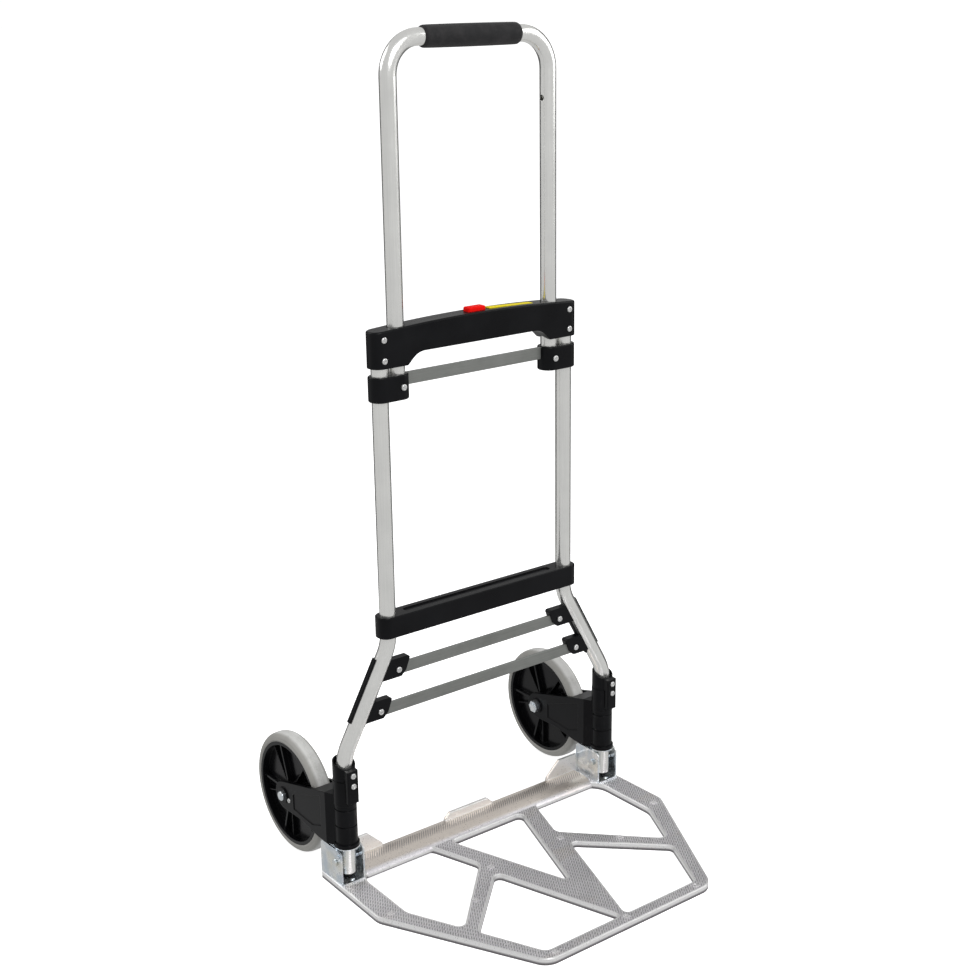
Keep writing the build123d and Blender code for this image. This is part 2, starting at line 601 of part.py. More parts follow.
with BuildPart() as nose_plate:
    add(truss.sketch)
    extrude(amount=PLATE_THICK)
    with BuildSketch(Plane.YZ.offset(-204)):
        with BuildLine():
            Line((-8, 2), (PLATE_REAR_Y, 2))
            Line((PLATE_REAR_Y, 2), (PLATE_REAR_Y, PLATE_THICK + 2))
            ThreePointArc((PLATE_REAR_Y, PLATE_THICK + 2), (20, RAIL_TOP_Z), (-8, PLATE_THICK - 2))
            Line((-8, PLATE_THICK - 2), (-8, 2))
        make_face()
    extrude(amount=408)
    with BuildSketch(Plane.XZ.offset(-36)):
        with BuildLine():
            Polyline((-43, 7), (43, 7), (43, 18), (34, 26.5), (-34, 26.5), (-43, 18), close=True)
        make_face()
    extrude(amount=5)
    for side in (-1, 1):
        with BuildSketch(Plane.XZ.offset(-38.5)):
            with BuildLine():
                Polyline((side * 209, 7), (side * 209, 41), (side * 174, 41), (side * 151, 19),
                         (side * 148, 7), close=True)
            make_face()
        extrude(amount=3.5)
    add(truss_hollow.sketch)
    extrude(amount=PLATE_THICK - PLATE_SKIN, mode=Mode.SUBTRACT)

# ---------------------------------------------------------------- hinge brackets on the plate
TOP_ARC_R = BRACKET_TOP_Z - HINGE_Z             # the walls' front tops turn clear under the knuckle
TOP_ARC = math.asin(-BRACKET_FRONT_Y / TOP_ARC_R)
BRACKET_CORNER = 4.0           # slanted rear corners of the walls
SIDE_RIVET = (-6.5, 50.5)      # Y and Z of the rivet in each outer wall
RIVET_R = 2.0
RIVET_HEAD_R = 3.2
RIVET_HEAD = 1.6
FLOOR_RIVET_Y = (-9, 27)

with BuildPart() as left_hinge_bracket:
    for offset_x in (-BRACKET_IN - BRACKET_SHEET, BRACKET_IN):
        with BuildSketch(Plane.YZ.offset(-FOOT_X + offset_x)):
            with BuildLine():
                Polyline((BRACKET_FRONT_Y, HINGE_Z + TOP_ARC_R * math.cos(TOP_ARC)),
                         (BRACKET_FRONT_Y, PLATE_THICK), (BRACKET_REAR_Y, PLATE_THICK),
                         (BRACKET_REAR_Y, BRACKET_TOP_Z - BRACKET_CORNER),
                         (BRACKET_REAR_Y - BRACKET_CORNER, BRACKET_TOP_Z), (0, BRACKET_TOP_Z))
                ThreePointArc(*[(-TOP_ARC_R * math.sin(turn), HINGE_Z + TOP_ARC_R * math.cos(turn))
                                for turn in (0, TOP_ARC / 2, TOP_ARC)])
            make_face()
            with Locations((0, HINGE_Z)):
                Circle(HINGE_PIN_R + HINGE_BUSH_WALL + SNUG, mode=Mode.SUBTRACT)
        extrude(amount=BRACKET_SHEET)
    with Locations(facing(-FOOT_X - BRACKET_IN, SIDE_RIVET[0], SIDE_RIVET[1], (1, 0, 0))):
        Cylinder(RIVET_R + SNUG, 8, mode=Mode.SUBTRACT)
    with Locations((-FOOT_X, BRACKET_REAR_Y - BRACKET_SHEET / 2, (PLATE_THICK + BRACKET_TOP_Z - 4) / 2)):
        Box(2 * BRACKET_IN + 1, BRACKET_SHEET, BRACKET_TOP_Z - 4 - PLATE_THICK)
    with Locations((-FOOT_X, 9, PLATE_THICK + BRACKET_SHEET / 2)):
        Box(2 * BRACKET_IN + 1, BRACKET_REAR_Y - BRACKET_FRONT_Y, BRACKET_SHEET)
    with Locations(*[(-FOOT_X, rivet_y, PLATE_THICK) for rivet_y in FLOOR_RIVET_Y]):
        Cylinder(RIVET_R + SNUG, 20, mode=Mode.SUBTRACT)

with BuildPart() as right_hinge_bracket:
    mirror(left_hinge_bracket.part, about=Plane.YZ)

with BuildPart() as hinge_bushes:
    for side in (-1, 1):
        for offset_x in (-BRACKET_IN - BRACKET_SHEET / 2, BRACKET_IN + BRACKET_SHEET / 2):
            with Locations(facing(side * FOOT_X + offset_x, 0, HINGE_Z, (1, 0, 0))):
                Cylinder(HINGE_PIN_R + HINGE_BUSH_WALL, BRACKET_SHEET)
                Cylinder(HINGE_PIN_R + RUN, BRACKET_SHEET, mode=Mode.SUBTRACT)

with BuildPart() as bracket_rivets:
    for side in (-1, 1):
        floor_rivets = [facing(side * FOOT_X, rivet_y, PLATE_THICK + BRACKET_SHEET, (0, 0, 1))
                        for rivet_y in FLOOR_RIVET_Y]
        wall_x = FOOT_X + BRACKET_IN + BRACKET_SHEET
        wall_rivet = facing(side * wall_x, SIDE_RIVET[0], SIDE_RIVET[1], (side, 0, 0))
        for seat in (*floor_rivets, wall_rivet):
            with BuildSketch(seat):
                Circle(RIVET_HEAD_R)
            extrude(amount=RIVET_HEAD)
            with BuildSketch(seat):
                Circle(RIVET_R)
            extrude(amount=-BRACKET_SHEET)

# ---------------------------------------------------------------- wheel forks
ARM_END_R = 20.0
WHEEL_GAP_R = 91.0
PANEL_DEPTH = 1.0              # of the sunk panel on each side of the fork
ARM_PANEL = ((32, 127), (104, 99), (104, 76), (56, 73), (32, 82))

with BuildPart() as left_fork:
    with BuildSketch(Plane.YZ.offset(-FOOT_X)):
        with BuildLine():
            Polyline((0, KNUCKLE_LOW_Z), (0, 138), (20, 138), (AXLE_Y + 5, AXLE_Z + ARM_END_R - 0.6))
            ThreePointArc((AXLE_Y + 5, AXLE_Z + ARM_END_R - 0.6), (AXLE_Y + ARM_END_R, AXLE_Z),
                          (AXLE_Y, AXLE_Z - ARM_END_R))
            Polyline((AXLE_Y, AXLE_Z - ARM_END_R), (AXLE_Y - 45, AXLE_Z - ARM_END_R + 1), (40, KNUCKLE_LOW_Z),
                     (0, KNUCKLE_LOW_Z))
        make_face()
    extrude(amount=FORK_OUT, both=True)
    with BuildSketch(Plane.XY.offset(KNUCKLE_LOW_Z - 10)):
        with BuildLine():
            Polyline(*[(-FOOT_X + x, y) for x, y in ((-14, 0), (-14, 6), (-FORK_OUT, 19), (-FORK_OUT, 160),
                                                     (FORK_OUT, 160), (FORK_OUT, 19), (14, 6), (14, 0))],
                     close=True)
        make_face()
    extrude(amount=100, mode=Mode.INTERSECT)
    with BuildSketch(Plane.YZ.offset(-FOOT_X)):
        with Locations((AXLE_Y, AXLE_Z)):
            Circle(WHEEL_GAP_R)
    extrude(amount=FORK_IN, both=True, mode=Mode.SUBTRACT)
    with Locations((-FOOT_X, 0, (KNUCKLE_LOW_Z + KNUCKLE_TOP_Z) / 2)):
        Cylinder(KNUCKLE_R, KNUCKLE_TOP_Z - KNUCKLE_LOW_Z)
    with Locations((-FOOT_X, 0, KNUCKLE_LOW_Z + 2.5)):
        Cylinder(KNUCKLE_FLANGE_R, 5)
    with Locations((-FOOT_X, 0, KNUCKLE_TOP_Z - 18)):
        Cylinder(KNUCKLE_NECK_R, 36)
    for offset_x in (-FORK_OUT - 1, FORK_OUT + 1):
        with Locations(facing(-FOOT_X + offset_x, AXLE_Y, AXLE_Z, (1, 0, 0))):
            Cylinder(12, 2)
    for groove_z in GROOVE_Z:
        with BuildSketch(Plane.XY.offset(groove_z)):
            with Locations((-FOOT_X, 0)):
                Circle(KNUCKLE_R + 2)
                Circle(KNUCKLE_R - GROOVE_DEPTH, mode=Mode.SUBTRACT)
            with Locations((-FOOT_X, 20)):
                Rectangle(60, 30, mode=Mode.SUBTRACT)
        extrude(amount=GROOVE_WIDTH, mode=Mode.SUBTRACT)
    for offset_x in (-FORK_OUT, FORK_OUT):
        with BuildSketch(Plane.YZ.offset(-FOOT_X + offset_x)):
            with BuildLine():
                Polyline(*ARM_PANEL, close=True)
            make_face()
        extrude(amount=PANEL_DEPTH, both=True, mode=Mode.SUBTRACT)
    with Locations((-FOOT_X, 0, KNUCKLE_LOW_Z)):
        Cylinder(TUBE_R + RUN, 300, mode=Mode.SUBTRACT)
    with Locations(facing(-FOOT_X, AXLE_Y, AXLE_Z, (1, 0, 0))):
        Cylinder(AXLE_R + SNUG, 60, mode=Mode.SUBTRACT)
    with Locations(facing(-FOOT_X - FORK_OUT, AXLE_Y - 16, AXLE_Z - 2, (1, 0, 0))):
        Cylinder(1.6, 12, mode=Mode.SUBTRACT)

with BuildPart() as right_fork:
    mirror(left_fork.part, about=Plane.YZ)

BOLT_SEAT = FORK_OUT + 2

with BuildPart() as left_axle_bolt:
    with BuildSketch(Plane.YZ.offset(-FOOT_X - BOLT_SEAT)):
        with Locations((AXLE_Y, AXLE_Z)):
            Circle(7)
    extrude(amount=-4)
    fillet(left_axle_bolt.faces().sort_by(Axis.X)[0].edges(), 1.8)
    with BuildSketch(Plane.YZ.offset(-FOOT_X - BOLT_SEAT)):
        with Locations((AXLE_Y, AXLE_Z)):
            Circle(AXLE_R)
    extrude(amount=2 * BOLT_SEAT + 7)

with BuildPart() as right_axle_bolt:
    mirror(left_axle_bolt.part, about=Plane.YZ)

with BuildPart() as left_axle_nut:
    with BuildSketch(Plane.YZ.offset(-FOOT_X + BOLT_SEAT)):
        with Locations((AXLE_Y, AXLE_Z)):
            RegularPolygon(9.5, 6)
            Circle(AXLE_R + SNUG, mode=Mode.SUBTRACT)
    extrude(amount=6)

with BuildPart() as right_axle_nut:
    mirror(left_axle_nut.part, about=Plane.YZ)

with BuildPart() as left_arm_screw:
    with Locations(facing(-FOOT_X - FORK_OUT, AXLE_Y - 16, AXLE_Z - 2, (-1, 0, 0))):
        add(pan_screw(1.5, 4.5, 3.2, 1.8))

with BuildPart() as right_arm_screw:
    mirror(left_arm_screw.part, about=Plane.YZ)

# ---------------------------------------------------------------- wheels
HUB_BUSH_R = 9.0
HUB_HALF = 12.5
BOSS_HALF = 14.4
BOSS_R = 17.0
SPOKE_THICK = 3.2
SPOKE_COUNT = 5
wheel_plane = Plane(origin=(-FOOT_X, AXLE_Y, AXLE_Z), x_dir=BACK, z_dir=(1, 0, 0))

with BuildPart() as left_tyre:
    with BuildSketch(wheel_plane):
        Circle(WHEEL_R)
        Circle(TYRE_IN_R, mode=Mode.SUBTRACT)
    extrude(amount=TYRE_HALF, both=True)
    tyre_rims = left_tyre.edges().filter_by(GeomType.CIRCLE).filter_by(
        lambda rim: abs(rim.radius - WHEEL_R) < 0.1
    )
    fillet(tyre_rims, 6)

with BuildPart() as left_wheel_hub:
    with BuildSketch(wheel_plane):
        Circle(TYRE_IN_R - SNUG)
        Circle(TYRE_IN_R - 5, mode=Mode.SUBTRACT)
    extrude(amount=HUB_HALF, both=True)
    with BuildSketch(wheel_plane):
        Circle(TYRE_IN_R - 4)
    extrude(amount=2, both=True)
    with BuildSketch(wheel_plane):
        Circle(BOSS_R)
    extrude(amount=BOSS_HALF, both=True)
    with BuildSketch(wheel_plane):
        with PolarLocations(44, SPOKE_COUNT):
            Rectangle(60, SPOKE_THICK)
    extrude(amount=9, both=True)
    with BuildSketch(wheel_plane):
        Circle(HUB_BUSH_R + SNUG)
    extrude(amount=20, both=True, mode=Mode.SUBTRACT)

with BuildPart() as left_wheel_bushes:
    for near, far in ((-BOSS_HALF, -3), (3, BOSS_HALF)):
        with BuildSketch(wheel_plane.offset(near)):
            Circle(HUB_BUSH_R)
            Circle(AXLE_R + RUN, mode=Mode.SUBTRACT)
        extrude(amount=far - near)

with BuildPart() as right_tyre:
    mirror(left_tyre.part, about=Plane.YZ)

with BuildPart() as right_wheel_hub:
    mirror(left_wheel_hub.part, about=Plane.YZ)

with BuildPart() as right_wheel_bushes:
    mirror(left_wheel_bushes.part, about=Plane.YZ)

# ---------------------------------------------------------------- labels and files
pieces = {
    "left_frame_tube": left_frame_tube,
    "right_frame_tube": right_frame_tube,
    "tube_foot_plugs": tube_foot_plugs,
    "crosshead_front_shell": crosshead_front_shell,
    "crosshead_rear_shell": crosshead_rear_shell,
    "crosshead_screws": crosshead_screws,
    "leg_guide_bushes": leg_guide_bushes,
    "label_strip": label_strip,
    "release_button": release_button,
    "button_cam_pins": button_cam_pins,
    "button_spring": button_spring,
    "left_lock_bolt": left_lock_bolt,
    "right_lock_bolt": right_lock_bolt,
    "lower_crossbar": lower_crossbar,
    "crossbar_screws": crossbar_screws,
    "handle_tube": handle_tube,
    "foam_grip": foam_grip,
    "leg_end_plugs": leg_end_plugs,
    "left_clamp": left_clamp,
    "right_clamp": right_clamp,
    "clamp_bar": clamp_bar,
    "clamp_screws": clamp_screws,
    "left_brace_bracket": left_brace_bracket,
    "right_brace_bracket": right_brace_bracket,
    "upper_brace_bar": upper_brace_bar,
    "lower_brace_bar": lower_brace_bar,
    "brace_screws": brace_screws,
    "left_collar": left_collar,
    "right_collar": right_collar,
    "collar_screws": collar_screws,
    "hinge_pins": hinge_pins,
    "thrust_washers": thrust_washers,
    "nose_plate": nose_plate,
    "left_hinge_bracket": left_hinge_bracket,
    "right_hinge_bracket": right_hinge_bracket,
    "hinge_bushes": hinge_bushes,
    "bracket_rivets": bracket_rivets,
    "left_fork": left_fork,
    "right_fork": right_fork,
    "left_axle_bolt": left_axle_bolt,
    "right_axle_bolt": right_axle_bolt,
    "left_axle_nut": left_axle_nut,
    "right_axle_nut": right_axle_nut,
    "left_arm_screw": left_arm_screw,
    "right_arm_screw": right_arm_screw,
    "left_tyre": left_tyre,
    "right_tyre": right_tyre,
    "left_wheel_hub": left_wheel_hub,
    "right_wheel_hub": right_wheel_hub,
    "left_wheel_bushes": left_wheel_bushes,
    "right_wheel_bushes": right_wheel_bushes,
}

for name, piece in pieces.items():
    piece.part.label = name
    export_step(piece.part, f"parts/{name}.step")
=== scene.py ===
"""Folding hand truck: finishes, fine pieces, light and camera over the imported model."""

import json
import logging
import math
from dataclasses import dataclass, field
from enum import Enum
from typing import Callable, Iterable, Sequence

import bmesh
import bpy
from mathutils import Matrix, Vector


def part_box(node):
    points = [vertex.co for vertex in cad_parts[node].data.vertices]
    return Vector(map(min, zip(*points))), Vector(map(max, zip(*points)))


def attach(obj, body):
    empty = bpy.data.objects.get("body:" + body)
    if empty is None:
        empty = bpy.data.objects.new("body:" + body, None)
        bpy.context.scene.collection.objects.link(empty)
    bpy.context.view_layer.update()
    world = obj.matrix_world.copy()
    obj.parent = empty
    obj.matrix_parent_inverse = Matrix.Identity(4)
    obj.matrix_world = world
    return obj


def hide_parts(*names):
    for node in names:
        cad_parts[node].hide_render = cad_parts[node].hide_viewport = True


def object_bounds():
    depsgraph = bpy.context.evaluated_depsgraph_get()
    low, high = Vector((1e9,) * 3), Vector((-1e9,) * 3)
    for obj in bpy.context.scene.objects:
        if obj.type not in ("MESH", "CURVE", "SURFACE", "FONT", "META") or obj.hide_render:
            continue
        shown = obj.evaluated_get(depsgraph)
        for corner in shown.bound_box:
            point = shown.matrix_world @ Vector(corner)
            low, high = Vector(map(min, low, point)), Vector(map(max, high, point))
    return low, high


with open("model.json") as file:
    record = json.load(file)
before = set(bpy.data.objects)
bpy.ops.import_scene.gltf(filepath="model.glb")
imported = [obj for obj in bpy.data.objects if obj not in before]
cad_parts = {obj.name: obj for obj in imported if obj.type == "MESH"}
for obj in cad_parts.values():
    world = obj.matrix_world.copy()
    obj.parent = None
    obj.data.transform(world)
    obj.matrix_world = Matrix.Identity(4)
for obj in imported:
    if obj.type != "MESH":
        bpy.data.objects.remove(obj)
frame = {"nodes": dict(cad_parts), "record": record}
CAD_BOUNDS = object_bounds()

LOG = logging.getLogger("hand_truck")
MM = 0.001
Colour = tuple[float, float, float]
Point = tuple[float, float]


# ---------------------------------------------------------------- shader helpers
class Sock:
    """A shader value; each operator on it adds one Math node."""

    def __init__(self, shader: "Shader", socket: bpy.types.NodeSocket) -> None:
        """Wraps one output socket.

        Args:
            shader: The material's node tree builder.
            socket: The output socket that carries the value.
        """
        self.shader = shader
        self.socket = socket

    def _math(self, operation: str, first: "Sock | float", second: "Sock | float") -> "Sock":
        """Adds a Math node.

        Args:
            operation: The node's operation.
            first: Its first value.
            second: Its second value.

        Returns:
            The node's result.
        """
        return self.shader.node("ShaderNodeMath", {"operation": operation}, {0: first, 1: second})

    def __add__(self, other: "Sock | float") -> "Sock":
        """self + other."""
        return self._math("ADD", self, other)

    __radd__ = __add__

    def __sub__(self, other: "Sock | float") -> "Sock":
        """self - other."""
        return self._math("SUBTRACT", self, other)

    def __rsub__(self, other: "Sock | float") -> "Sock":
        """other - self."""
        return self._math("SUBTRACT", other, self)

    def __mul__(self, other: "Sock | float") -> "Sock":
        """self * other."""
        return self._math("MULTIPLY", self, other)

    __rmul__ = __mul__


class Shader:
    """Builds one material around its Principled shader."""

    def __init__(self, name: str) -> None:
        """Starts an empty material.

        Args:
            name: The material's name.
        """
        self.material = bpy.data.materials.new(name)
        self.material.use_nodes = True
        self.tree = self.material.node_tree
        self.surface = self.tree.nodes["Principled BSDF"]

    def node(self, kind: str, settings: dict | None = None, inputs: dict | None = None,
             output: int | str = 0) -> Sock:
        """Adds a node, its settings first and its sockets after them.

        Args:
            kind: The node's type.
            settings: Properties of the node.
            inputs: Socket name or number to a value or a Sock.
            output: The output that is returned.

        Returns:
            The chosen output, wrapped.
        """
        made = self.tree.nodes.new(kind)
        for key, value in (settings or {}).items():
            setattr(made, key, value)
        for key, value in (inputs or {}).items():
            self.feed(made.inputs[key], value)
        return Sock(self, made.outputs[output])

    def feed(self, socket: bpy.types.NodeSocket, value: "Sock | float | Sequence[float]") -> None:
        """Links or sets one input socket.

        Args:
            socket: The input.
            value: A Sock to link, or a plain value.
        """
        if isinstance(value, Sock):
            self.tree.links.new(value.socket, socket)
        elif isinstance(value, (int, float)):
            socket.default_value = value
        else:
            wanted = len(socket.default_value)
            socket.default_value = (*value, 1.0)[:wanted] if len(value) < wanted else tuple(value)

    def place(self, scale: Sequence[float] = (1, 1, 1), turn: Sequence[float] = (0, 0, 0)) -> Sock:
        """Object coordinates, stretched and turned.

        Args:
            scale: Stretch along each axis.
            turn: Turn about each axis, in radians.

        Returns:
            The coordinates.
        """
        coords = self.node("ShaderNodeTexCoord", output="Object")
        return self.node("ShaderNodeMapping", inputs={
            "Vector": coords, "Rotation": turn, "Scale": scale})

    def noise(self, where: Sock, scale: float, detail: float = 3.0, roughness: float = 0.55) -> Sock:
        """Noise value at the given coordinates.

        Args:
            where: Coordinates.
            scale: Cells per metre.
            detail: Octaves.
            roughness: Weight of the finer octaves.

        Returns:
            A value around 0.5.
        """
        return self.node("ShaderNodeTexNoise", inputs={
            "Vector": where, "Scale": scale, "Detail": detail, "Roughness": roughness})

    def spread(self, value: Sock, low: float, high: float, to_low: float = 0.0,
               to_high: float = 1.0) -> Sock:
        """Maps a value from one range to another, held at the ends.

        Args:
            value: The value.
            low: Start of its range.
            high: End of its range.
            to_low: What the start becomes.
            to_high: What the end becomes.

        Returns:
            The mapped value.
        """
        return self.node("ShaderNodeMapRange", {"clamp": True}, {
            "Value": value, "From Min": low, "From Max": high, "To Min": to_low, "To Max": to_high})

    def mix(self, share: "Sock | float", first: "Sock | Colour", second: "Sock | Colour") -> Sock:
        """Mixes two colours.

        Args:
            share: 0 for the first, 1 for the second.
            first: A colour.
            second: A colour.

        Returns:
            The mixed colour.
        """
        return self.node("ShaderNodeMix", {"data_type": "RGBA"}, {0: share, 6: first, 7: second},
                         output=2)

    def axis(self, vector: Sock, index: int) -> Sock:
        """One part of a vector, 0 for X to 2 for Z."""
        return self.node("ShaderNodeSeparateXYZ", inputs={0: vector}, output=index)

    def rough(self, value: Sock, low: float, high: float) -> Sock:
        """Roughness between two levels, from the middle of a noise's range."""
        return self.spread(value, 0.3, 0.7, low, high)

    def relief(self, height: Sock, distance: float, strength: float = 1.0, edge: float = 0.0) -> Sock:
        """Bump from a height, over rounded edges where an edge radius is given.

        Args:
            height: Height, 0 to 1.
            distance: Height of 1, in metres.
            strength: Strength of the bump.
            edge: Radius that sharp edges look rounded to, in metres.

        Returns:
            The normal.
        """
        inputs = {"Height": height, "Distance": distance, "Strength": strength}
        if edge > 0:
            inputs["Normal"] = self.node("ShaderNodeBevel", {"samples": 4}, {"Radius": edge})
        return self.node("ShaderNodeBump", inputs=inputs)

    def finish(self, **sockets: "Sock | float | Sequence[float]") -> bpy.types.Material:
        """Feeds the Principled shader.

        Args:
            **sockets: Socket names with _ for a space, and their values.

        Returns:
            The finished material.
        """
        for key, value in sockets.items():
            self.feed(self.surface.inputs[key.replace("_", " ")], value)
        return self.material


# ---------------------------------------------------------------- finishes
@dataclass(frozen=True)
class DrawnAluminium:
    """Satin drawn aluminium: fine streaks along the tube or bar, and faint handling marks."""

    name: str
    light: Colour
    dark: Colour
    roughness: float
    metallic: float
    streaks: Sequence[float] = (900.0, 900.0, 14.0)
    edge: float = 0.0004

    def build(self) -> bpy.types.Material:
        """Returns the material."""
        made = Shader(self.name)
        lines = made.noise(made.place(self.streaks), 1.0, 2.0)
        cloud = made.noise(made.place(), 22.0, 3.0)
        specks = made.noise(made.place(), 1600.0, 2.0)
        tone = made.mix(made.spread(cloud * 0.6 + lines * 0.4, 0.36, 0.64), self.dark, self.light)
        normal = made.relief(lines * 0.8 + specks * 0.2, 0.00004, 0.5, self.edge)
        rough = made.rough(lines * 0.5 + cloud * 0.5, self.roughness - 0.05, self.roughness + 0.07)
        return made.finish(Base_Color=tone, Roughness=rough, Metallic=self.metallic, Normal=normal)


@dataclass(frozen=True)
class CastAluminium:
    """Die-cast plate: fine crossed serrations on the flat top, smooth rims, grain and scuffs, with
    painted shade in the serration grooves and low on the side walls, painted highlight on the rims and
    high on the side walls, and a painted reflection on the rail.
    """

    name: str = "cast_aluminium"
    light: Colour = (0.98, 0.965, 0.985)
    dark: Colour = (0.66, 0.64, 0.675)
    # warm tint of random patches, and also the painted warm reflection on the raised rail
    warm_tint_and_reflection: Colour = (0.74, 0.66, 0.57)
    # painted highlight on the rims of upward faces and high on the side walls
    painted_highlight: Colour = (0.97, 0.965, 0.96)
    # painted shade in the grooves between the serration ridges
    groove: Colour = (0.20, 0.19, 0.20)
    # painted shade low on the side walls
    flank: Colour = (0.13, 0.12, 0.13)
    pitch: float = 3.2 * MM
    heading: float = 32.0
    rim_width: float = 4.5 * MM
    edge: float = 3.0 * MM
    # heights over which the side walls go from painted shade to painted highlight
    foot_shade_heights: tuple[float, float] = (2.2 * MM, 5.0 * MM)
    # heights over which the painted reflection on the rail comes in
    rail_reflection_heights: tuple[float, float] = (10.0 * MM, 12.5 * MM)
    roughness: float = 0.3

    def build(self) -> bpy.types.Material:
        """Returns the material."""
        made = Shader(self.name)
        turned = made.place(turn=(0, 0, math.radians(self.heading)))
        grain = made.noise(made.place(), 420.0, 4.0, 0.7)
        cloud = made.noise(made.place(), 16.0, 3.0)
        wave = {"wave_type": "BANDS", "bands_direction": "X"}
        ridges = made.node("ShaderNodeTexWave", wave, {
            "Vector": turned, "Scale": 1.0 / (self.pitch * 3.2), "Distortion": 0.6, "Detail": 1.0,
            "Detail Scale": 60.0}, output=1)
        facing_up = made.axis(made.node("ShaderNodeTexCoord", output="Normal"), 2)
        level = made.spread(facing_up, 0.97, 0.995)
        rounded = made.node("ShaderNodeBevel", {"samples": 8}, {"Radius": self.rim_width})
        turn = made.node("ShaderNodeVectorMath", {"operation": "DISTANCE"}, {
            0: rounded, 1: made.node("ShaderNodeNewGeometry", output="Normal")}, output="Value")
        smooth = made.spread(turn, 0.02, 0.10)
        flat = level * (1.0 - smooth)
        relief = ridges * flat * 0.8 + grain * (0.15 + flat * 0.4)
        tone = made.mix(made.spread(grain * 0.55 + cloud * 0.45, 0.35, 0.66), self.dark, self.light)
        patches = made.spread(made.noise(made.place((1, 3, 3)), 9.0, 2.0), 0.56, 0.72, 0.0, 0.4)
        tone = made.mix(patches, tone, self.warm_tint_and_reflection)
        height = made.axis(made.node("ShaderNodeTexCoord", output="Object"), 2)
        # Painted reflection: the raised rail is tinted warm above these heights.
        tone = made.mix(made.spread(height, *self.rail_reflection_heights, 0.0, 0.75), tone, self.warm_tint_and_reflection)
        # Painted shade: the grooves between the serration ridges on the flat top are darkened.
        tone = made.mix(made.spread(ridges, 0.0, 0.5, 1.0, 0.0) * flat * 0.7, tone, self.groove)
        # Painted highlight: the rounded rims of upward faces are lightened.
        tone = made.mix(smooth * level * 0.9, tone, self.painted_highlight)
        # Painted light on the side walls: painted shade low down, painted highlight higher up.
        upright = made.spread(facing_up, 0.35, 0.0) * made.spread(facing_up, -0.5, -0.2)
        side = made.mix(made.spread(height, *self.foot_shade_heights), self.flank, self.painted_highlight)
        tone = made.mix(upright * 0.9, tone, side)
        normal = made.relief(relief, 0.0005, 0.8, self.edge)
        rough = made.rough(grain, self.roughness - 0.06, self.roughness + 0.14)
        return made.finish(Base_Color=tone, Roughness=rough, Metallic=0.86, Normal=normal)


@dataclass(frozen=True)
class ZincPlate:
    """Bright zinc: a bluish metal with a faint change of hue and a fine spangle."""

    name: str = "bright_zinc"
    cool: Colour = (0.62, 0.68, 0.74)
    pale: Colour = (0.82, 0.84, 0.84)
    gold: Colour = (0.78, 0.74, 0.60)
    roughness: float = 0.22

    def build(self) -> bpy.types.Material:
        """Returns the material."""
        made = Shader(self.name)
        cloud = made.noise(made.place(), 55.0, 3.0)
        grain = made.noise(made.place((1, 1, 0.3)), 900.0, 2.0)
        tone = made.mix(made.spread(cloud, 0.38, 0.62), self.cool, self.pale)
        tint = made.spread(made.noise(made.place(), 30.0, 1.0), 0.58, 0.74, 0.0, 0.45)
        tone = made.mix(tint, tone, self.gold)
        normal = made.relief(grain, 0.00005, 0.5, 0.0006)
        rough = made.rough(cloud, self.roughness - 0.06, self.roughness + 0.12)
        return made.finish(Base_Color=tone, Roughness=rough, Metallic=0.95, Normal=normal)


@dataclass(frozen=True)
class ScrewSteel:
    """Bright screw steel with a fine grain of wear."""

    name: str = "screw_steel"
    light: Colour = (0.88, 0.88, 0.87)
    dark: Colour = (0.60, 0.60, 0.60)

    def build(self) -> bpy.types.Material:
        """Returns the material."""
        made = Shader(self.name)
        grain = made.noise(made.place(), 1400.0, 3.0)
        tone = made.mix(made.spread(grain, 0.35, 0.65), self.dark, self.light)
        normal = made.relief(grain, 0.00004, 0.5, 0.0004)
        return made.finish(Base_Color=tone, Roughness=made.rough(grain, 0.2, 0.36), Metallic=0.95,
                           Normal=normal)


@dataclass(frozen=True)
class MouldedPlastic:
    """Moulded plastic with a spark-eroded grain, flow clouds and rounded edges."""

    name: str
    base: Colour
    worn: Colour
    roughness: float
    grain_depth: float
    grain_scale: float = 1100.0
    coat: float = 0.0
    edge: float = 0.0011
    sheen_level: float = 0.22

    def build(self) -> bpy.types.Material:
        """Returns the material."""
        made = Shader(self.name)
        grain = made.noise(made.place(), self.grain_scale, 3.0, 0.6)
        cloud = made.noise(made.place(), 18.0, 3.0)
        dust = made.spread(made.noise(made.place(), 160.0, 4.0), 0.56, 0.8, 0.0, 0.35)
        tone = made.mix(made.spread(cloud, 0.35, 0.65) * 0.5 + dust * 0.5, self.base, self.worn)
        normal = made.relief(grain, self.grain_depth, 0.6, self.edge)
        rough = made.rough(cloud * 0.6 + grain * 0.4, self.roughness - 0.05, self.roughness + 0.08)
        return made.finish(Base_Color=tone, Roughness=rough, Coat_Weight=self.coat, Coat_Roughness=0.12,
                           Specular_IOR_Level=self.sheen_level, Normal=normal)


